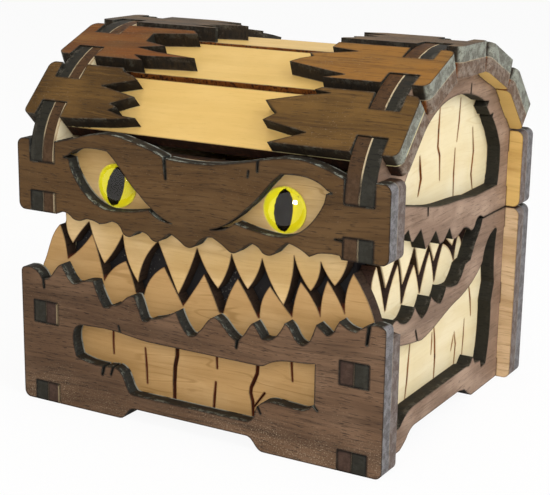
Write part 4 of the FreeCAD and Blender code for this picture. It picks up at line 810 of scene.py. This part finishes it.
@dataclass
class Screws:
    """Four round-headed cross screws in one half of the two hinges."""

    node: str  # the frame's screws that these stand for
    head: float = 0.0011  # the head's radius
    rise: float = 0.00035  # the head's height
    slope: float = 0.25  # how wide the head's sloping rim is, of its radius
    drop: float = 0.45  # how far that rim falls, of the height
    shank: float = 0.0005  # the shank's radius
    length: float = 0.0046
    point: float = 0.18  # how much of the length is the point
    point_width: float = 0.15  # how wide the point ends, of the shank
    facets: int = 40
    cross: float = 0.00072  # half the length of the cross's arms
    cross_width: float = 0.00032
    cross_depth: float = 0.8  # of the head's height
    cross_turn: float = 0.4  # how far each cross is turned, in radians
    finish: Brass = field(default_factory=Brass)

    def build(self, node: Piece) -> Piece:
        """Model one screw, copy it to the four places and join the copies.

        Args:
            node: The frame's screws, which say where the new ones go.

        Returns:
            The four screws as one piece.
        """
        low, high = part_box(self.node)
        xs = self._places(node)
        first = self._one(Vector((xs[0], high.y, (low.z + high.z) / 2)))
        Bench.clear()
        first.select_set(True)
        for x in xs[1:]:
            twin = first.copy()
            twin.data = first.data.copy()
            twin.data.transform(Matrix.Translation((x - xs[0], 0, 0)))
            bpy.context.collection.objects.link(twin)
            twin.select_set(True)
        bpy.context.view_layer.objects.active = first
        ops.object.join()
        first.name = f"{self.node}_detailed"
        first.select_set(False)
        self.finish.dress(first)
        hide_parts(self.node)
        return first

    def _places(self, node: Piece) -> list[float]:
        """Return the screws' places along X.

        Args:
            node: The frame's screws.

        Returns:
            The middle of each screw.
        """
        found: list[list[float]] = []
        for x in sorted(v.co.x for v in node.data.vertices):
            if not found or x - found[-1][-1] > 2 * self.head:
                found.append([])
            found[-1].append(x)
        return [(group[0] + group[-1]) / 2 for group in found]

    def _one(self, top: Vector) -> Piece:
        """Model one screw that looks towards +Y.

        Args:
            top: The middle of the head's top.

        Returns:
            The screw.
        """
        Bench.clear()
        ops.mesh.primitive_cylinder_add(
            vertices=self.facets, radius=self.head, depth=self.rise, location=top - Vector((0, self.rise / 2, 0)),
            rotation=(-math.pi / 2, 0, 0))
        screw = Bench.start("screw")
        Bench.pick(screw, "FACE", lambda f: f.normal.y > 0.9)
        ops.mesh.inset(thickness=self.head * self.slope, depth=0.0)
        Bench.pick(screw, "VERT", lambda v: v.co.y > top.y - TOUCH and (v.co.xz - top.xz).length > self.head * 0.9)
        ops.transform.translate(value=(0, -self.rise * self.drop, 0))
        Bench.pick(screw, "FACE", lambda f: f.normal.y < -0.9)
        ops.mesh.inset(thickness=self.head - self.shank, depth=0.0)
        for share in (1 - self.point, self.point):
            ops.mesh.extrude_region_move(TRANSFORM_OT_translate={"value": (0, -self.length * share, 0)})
        ops.transform.resize(value=(self.point_width, 1, self.point_width))
        Bench.done(screw, 35.0)
        for turn in (0.0, math.pi / 2):
            self._cut(screw, top, turn)
        return screw

    def _cut(self, screw: Piece, top: Vector, turn: float) -> None:
        """Cut one arm of the cross recess.

        Args:
            screw: The screw.
            top: The middle of the head's top.
            turn: How far the arm is turned, in radians.
        """
        Bench.clear()
        ops.mesh.primitive_cube_add(size=1.0, location=top, rotation=(0, turn + self.cross_turn, 0))
        cutter = bpy.context.object
        cutter.scale = (self.cross * 2, self.rise * self.cross_depth * 2, self.cross_width)
        ops.object.transform_apply(location=True, rotation=True, scale=True)
        cut = screw.modifiers.new("cross", "BOOLEAN")
        cut.operation = "DIFFERENCE"
        cut.solver = "EXACT"
        cut.object = cutter
        Bench.clear()
        bpy.context.view_layer.objects.active = screw
        screw.select_set(True)
        ops.object.modifier_apply(modifier=cut.name)
        bpy.data.objects.remove(cutter, do_unlink=True)


@dataclass
class Felt:
    """The felt on the floor: a cut pad with soft edges that lies a little uneven."""

    node: str = "floor_felt"
    edge: float = 0.0004  # how far the edge is rounded
    unevenness: float = 0.00012
    cuts: int = 24  # how finely its top is divided
    finish: FeltCloth = field(default_factory=FeltCloth)

    def build(self) -> Piece:
        """Model the felt.

        Returns:
            The felt.
        """
        low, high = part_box(self.node)
        size = high - low
        Bench.clear()
        ops.mesh.primitive_cube_add(size=1.0, location=(low + high) / 2)
        bpy.context.object.scale = size
        felt = Bench.start("felt_pad")
        points, inner = felt.data.vertices, size / 2 - Vector((1, 1, 1)) * self.edge * 0.5
        Bench.pick(felt, "EDGE", lambda e: abs(points[e.vertices[0]].co.z - points[e.vertices[1]].co.z) > 1e-4)
        ops.mesh.bevel(offset=self.edge * 2, segments=4, affect="EDGES")
        Bench.pick(felt, "FACE", lambda f: f.normal.z > 0.9)
        ops.mesh.inset(thickness=self.edge, depth=0.0)
        Bench.pick(felt, "VERT", lambda v: v.co.z > high.z - TOUCH and (
            abs(v.co.x) > inner.x or abs(v.co.y - (low.y + high.y) / 2) > inner.y))
        ops.transform.translate(value=(0, 0, -self.edge * 0.6))
        Bench.pick(felt, "FACE", lambda f: f.normal.z > 0.99)
        ops.mesh.inset(thickness=self.edge * 2, depth=0.0)
        ops.mesh.quads_convert_to_tris()
        ops.mesh.subdivide(number_cuts=self.cuts)
        ops.transform.vertex_random(offset=self.unevenness, uniform=0.0, normal=1.0, seed=5)
        ops.mesh.vertices_smooth(factor=0.5, repeat=2, xaxis=False, yaxis=False)
        Bench.done(felt, 60.0)
        self.finish.dress(felt)
        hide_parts(self.node)
        return felt


# ---- The chest's sub-assemblies ----


WALL_FACES = {"front": FRONTWARD, "face": FRONTWARD, "rear": REARWARD, "left": LEFTWARD, "right": RIGHTWARD,
              "floor": UPWARD}


def wall(name: str, veneer: Veneer, char: Char, seed: float, **more: Any) -> tuple[str, SheetFinish]:
    """Return a sheet's name and its finish, whose layer and face follow from the name."""
    layer = Layer.INNER if name.endswith("maple") else Layer.OUTER
    return name, SheetFinish(veneer, char, layer, WALL_FACES[name.split("_")[1]], seed, **more)


@dataclass
class Base:
    """The base: four two-layer walls, the floor, its felt and the lining."""

    body: str = "base"
    finishes: dict[str, SheetFinish] = field(default_factory=lambda: dict((
        wall("base_front_walnut", WALNUT_BASE, BURNT_WALNUT, 0.31, dusty_below=0.011, paler=0.65),
        wall("base_front_maple", MAPLE_FRONT, BURNT_MAPLE_FRONT, 1.73),
        wall("base_left_walnut", WALNUT_SIDE_LIT, BURNT_SIDE_BASE, 2.41),
        wall("base_left_maple", MAPLE_SIDE_LIT, BURNT_MAPLE_BASE, 3.19, engraved=ENGRAVED, pale_lip=0.55),
        wall("base_right_walnut", WALNUT_SIDE_LIT, BURNT_SIDE_BASE, 4.07),
        wall("base_right_maple", MAPLE_SIDE_LIT, BURNT_MAPLE_BASE, 5.53, engraved=ENGRAVED),
        wall("base_rear_walnut", WALNUT_BASE, BURNT_WALNUT, 6.29),
        wall("base_rear_maple", MAPLE_REAR_BASE, BURNT_MAPLE, 7.61),
        wall("base_floor", MAPLE_FRONT, BURNT_MAPLE, 8.17),
    )))
    linings: tuple[str, ...] = ("lining_front", "lining_rear", "lining_left", "lining_right")

    def build(self, nodes: Pieces) -> list[Piece]:
        """Dress the walls and add the felt.

        Args:
            nodes: The frame's objects by name.

        Returns:
            The new pieces.
        """
        for name, finish in self.finishes.items():
            finish.dress(nodes[name])
        for name in self.linings:
            Board().dress(nodes[name])
        felt = Felt().build()
        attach(felt, self.body)
        return [felt]


@dataclass
class Lid:
    """The lid: the face, the side walls with their ribs, the barrel's slats and the eyes."""

    body: str = "lid"
    slat_turn: float = 22.5  # degrees between two slats
    slat_seeds: Triple = (20.0, 3.7, 1.3)  # where their veneer starts, and the way to the next slat and sheet
    first_maple: tuple[str, str] = ("#24130A", "#3A1E0C")  # the darker char of the lowest slat
    # painted light: each slat's walnut tone follows how it faces the lamps, its right sheet lighter
    slat_lit_tones: tuple[tuple[str, str], ...] = (
        ("#412C0A", "#5A411C"), ("#6D3D06", "#8B5F24"), ("#3C2F1D", "#4E3B24"),
        ("#5A4222", "#5C4526"), ("#563F24", "#5A4228"))
    finishes: dict[str, SheetFinish] = field(default_factory=lambda: dict((
        wall("lid_face_walnut", WALNUT_FACE, BURNT_FACE, 11.37),
        wall("lid_face_maple", MAPLE_FACE, BURNT_MAPLE, 12.71, paler_to=DOWNWARD, paler=0.45),
        wall("lid_left_walnut", WALNUT_SIDE_LIT, BURNT_SIDE_LEFT, 13.23),
        wall("lid_left_maple", MAPLE_SIDE_LIT, BURNT_MAPLE_RIB_LEFT, 14.83, engraved=ENGRAVED, pale_lip=0.7),
        wall("lid_right_walnut", WALNUT_SIDE_LIT, BURNT_SIDE, 15.61),
        wall("lid_right_maple", MAPLE_SIDE_LIT, BURNT_MAPLE_RIB, 16.43, engraved=ENGRAVED),
        wall("lid_rear_walnut", WALNUT_FACE, BURNT_FACE, 17.09),
        wall("lid_rear_maple", MAPLE_REAR_LID, BURNT_MAPLE, 18.77),
    )))

    def build(self, nodes: Pieces) -> list[Piece]:
        """Dress the lid's sheets and add the eyes.

        Args:
            nodes: The frame's objects by name.

        Returns:
            The new pieces.
        """
        for name, finish in self.finishes.items():
            finish.dress(nodes[name])
        for number in range(1, len(self.slat_lit_tones) + 1):
            self._slat(nodes, number)
        eyes = (Eye("left", pupil_lean=0.2), Eye("right", pupil_lean=0.04))
        pieces = [piece for eye in eyes for piece in eye.build()]
        for piece in pieces:
            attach(piece, self.body)
        return pieces

    def _slat(self, nodes: Pieces, number: int) -> None:
        """Dress the three sheets of one slat, which is turned about X.

        Args:
            nodes: The frame's objects by name.
            number: The slat's number, from the front.
        """
        turn = math.radians(self.slat_turn * ((len(self.slat_lit_tones) + 1) / 2 - number))
        face = (0.0, -math.sin(turn), math.cos(turn))
        start, next_slat, next_sheet = self.slat_seeds
        seed = start + number * next_slat
        maple, walnut = BURNT_MAPLE_SLAT, BURNT_SLAT
        if number == 1:
            edge, warm = self.first_maple
            maple, walnut = replace(maple, edge=edge, warm=warm), BURNT_SLAT_FRONT
        SheetFinish(MAPLE_TOP, maple, Layer.INNER, face, seed).dress(nodes[f"slat_{number}_maple"])
        for side, tone in zip(("left", "right"), self.slat_lit_tones[number - 1]):
            seed += next_sheet
            sheet = nodes[f"slat_{number}_walnut_{side}"]
            SheetFinish(replace(WALNUT_TOP, body=tone), walnut, Layer.OUTER, face, seed).dress(sheet)


@dataclass
class Hinges:
    """The two butt hinges and their screws."""

    metal: Brass = field(default_factory=Brass)

    def build(self, nodes: Pieces) -> list[Piece]:
        """Dress leaves and pins and model the screws.

        Args:
            nodes: The frame's objects by name.

        Returns:
            The new pieces.
        """
        for name, piece in nodes.items():
            if name.startswith("hinge_"):
                self.metal.dress(piece)
        pieces = []
        for body in ("base", "lid"):
            screws = Screws(f"{body}_hinge_screws").build(nodes[f"{body}_hinge_screws"])
            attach(screws, body)
            pieces.append(screws)
        return pieces


@dataclass
class Studio:
    """The plain floor, the soft lamps, the sky and the camera."""

    camera_place: Triple = (0.1533, -0.27245, 0.1144)
    forward: Triple = (-0.4788, 0.8404, -0.2541)
    upward: Triple = (-0.1393, 0.2130, 0.9671)
    focal_pixels: float = 1416.865
    frame_pixels: tuple[int, int] = (550, 495)
    optical_centre: tuple[float, float] = (277.738, 247.184)
    sensor: float = 36.0  # millimetres
    sky: float = 0.5  # how bright the sky is to the chest
    floor_grey: Colour = (0.88, 0.88, 0.88, 1.0)
    floor_glow: float = 0.92  # how much of the floor looks plain white
    lamp_aim: Triple = (0.0, 0.0, 0.04)

    def build(self) -> None:
        """Make the whole studio."""
        self._floor()
        self._sky()
        self._lamp("key_right", (0.62, -0.16, 0.42), 0.45, 3.4, "#F4F7FF")
        self._lamp("fill_front", (0.2, -0.62, 0.3), 0.5, 1.75, "#FFF4E4")
        self._lamp("top_soft", (-0.05, -0.05, 0.8), 0.6, 1.4, "#FFF8EA")
        self._lamp("eye_glint", (0.25, -0.36, 0.26), 0.12, 2.6, "#FFFFFF", glossy=True)
        self._camera()

    def _floor(self) -> None:
        """Lay a pale floor that keeps the chest's shadow and fades to white."""
        Bench.clear()
        ops.mesh.primitive_plane_add(size=8.0, location=(0, 0, 0))
        floor = Bench.start("studio_floor")
        s = Shader("studio_floor_white")
        paint = s.node("ShaderNodeBsdfDiffuse", {"Color": self.floor_grey}).outputs[0]
        glow = s.node("ShaderNodeEmission", {}).outputs[0]
        cover(floor, s.end(s.blend(s.times(s.ray("Camera"), self.floor_glow), paint, glow)))

    def _sky(self) -> None:
        """Light the scene evenly, and show plain white to the camera, to metal and to glass."""
        world = bpy.data.worlds.new("studio_sky")
        bpy.context.scene.world = world
        world.use_nodes = True
        t = Tree(world.node_tree)
        dim, white = (t.node("ShaderNodeBackground", {"Color": WHITE, "Strength": strength}).outputs[0]
                      for strength in (self.sky, 1.0))
        rays = (t.ray(kind) for kind in ("Camera", "Glossy", "Transmission"))
        share = reduce(lambda one, two: t.maths("MAXIMUM", one, two), rays)
        t.node("ShaderNodeOutputWorld", {"Surface": t.blend(share, dim, white)})

    def _lamp(self, name: str, place: Triple, width: float, power: float, colour: str,
              glossy: bool = False) -> None:
        """Hang a square lamp that looks at the chest.

        Args:
            name: The lamp's name.
            place: Where it hangs.
            width: The side of its square.
            power: Its power in watts.
            colour: Its colour.
            glossy: Whether polished things mirror it.
        """
        Bench.clear()
        aim = (Vector(self.lamp_aim) - Vector(place)).to_track_quat("-Z", "Y")
        ops.object.light_add(type="AREA", location=place, rotation=aim.to_euler())
        lamp = bpy.context.object
        lamp.name = name
        lamp.data.size = width
        lamp.data.energy = power
        lamp.data.color = tint(colour)[:3]
        lamp.visible_glossy = glossy
        lamp.visible_diffuse = not glossy

    def _camera(self) -> None:
        """Set the camera up at the viewing angle."""
        Bench.clear()
        back = -Vector(self.forward).normalized()
        right = Vector(self.upward).cross(back).normalized()
        up = back.cross(right)
        turned = Matrix((right, up, back)).transposed()
        ops.object.camera_add(location=self.camera_place, rotation=turned.to_euler())
        camera = bpy.context.object
        camera.name = "studio_camera"
        width, height = self.frame_pixels
        camera.data.sensor_width = self.sensor
        camera.data.lens = self.focal_pixels * self.sensor / width
        camera.data.shift_x = (width / 2 - self.optical_centre[0]) / width
        camera.data.shift_y = (self.optical_centre[1] - height / 2) / width
        camera.data.clip_start, camera.data.clip_end = 0.01, 20.0
        bpy.context.scene.camera = camera
        bpy.context.scene.view_settings.view_transform = "Standard"


def main() -> None:
    """Build the looks of the whole chest around its frame."""
    logging.basicConfig(level=logging.INFO, format="%(name)s: %(message)s")
    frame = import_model()
    nodes = frame["nodes"]
    for assembly in (Base(), Lid(), Hinges()):
        for piece in assembly.build(nodes):
            LOG.info("%s: %s, %d faces", type(assembly).__name__, piece.name, len(piece.data.polygons))
    Studio().build()


if __name__ == "__main__":
    main()
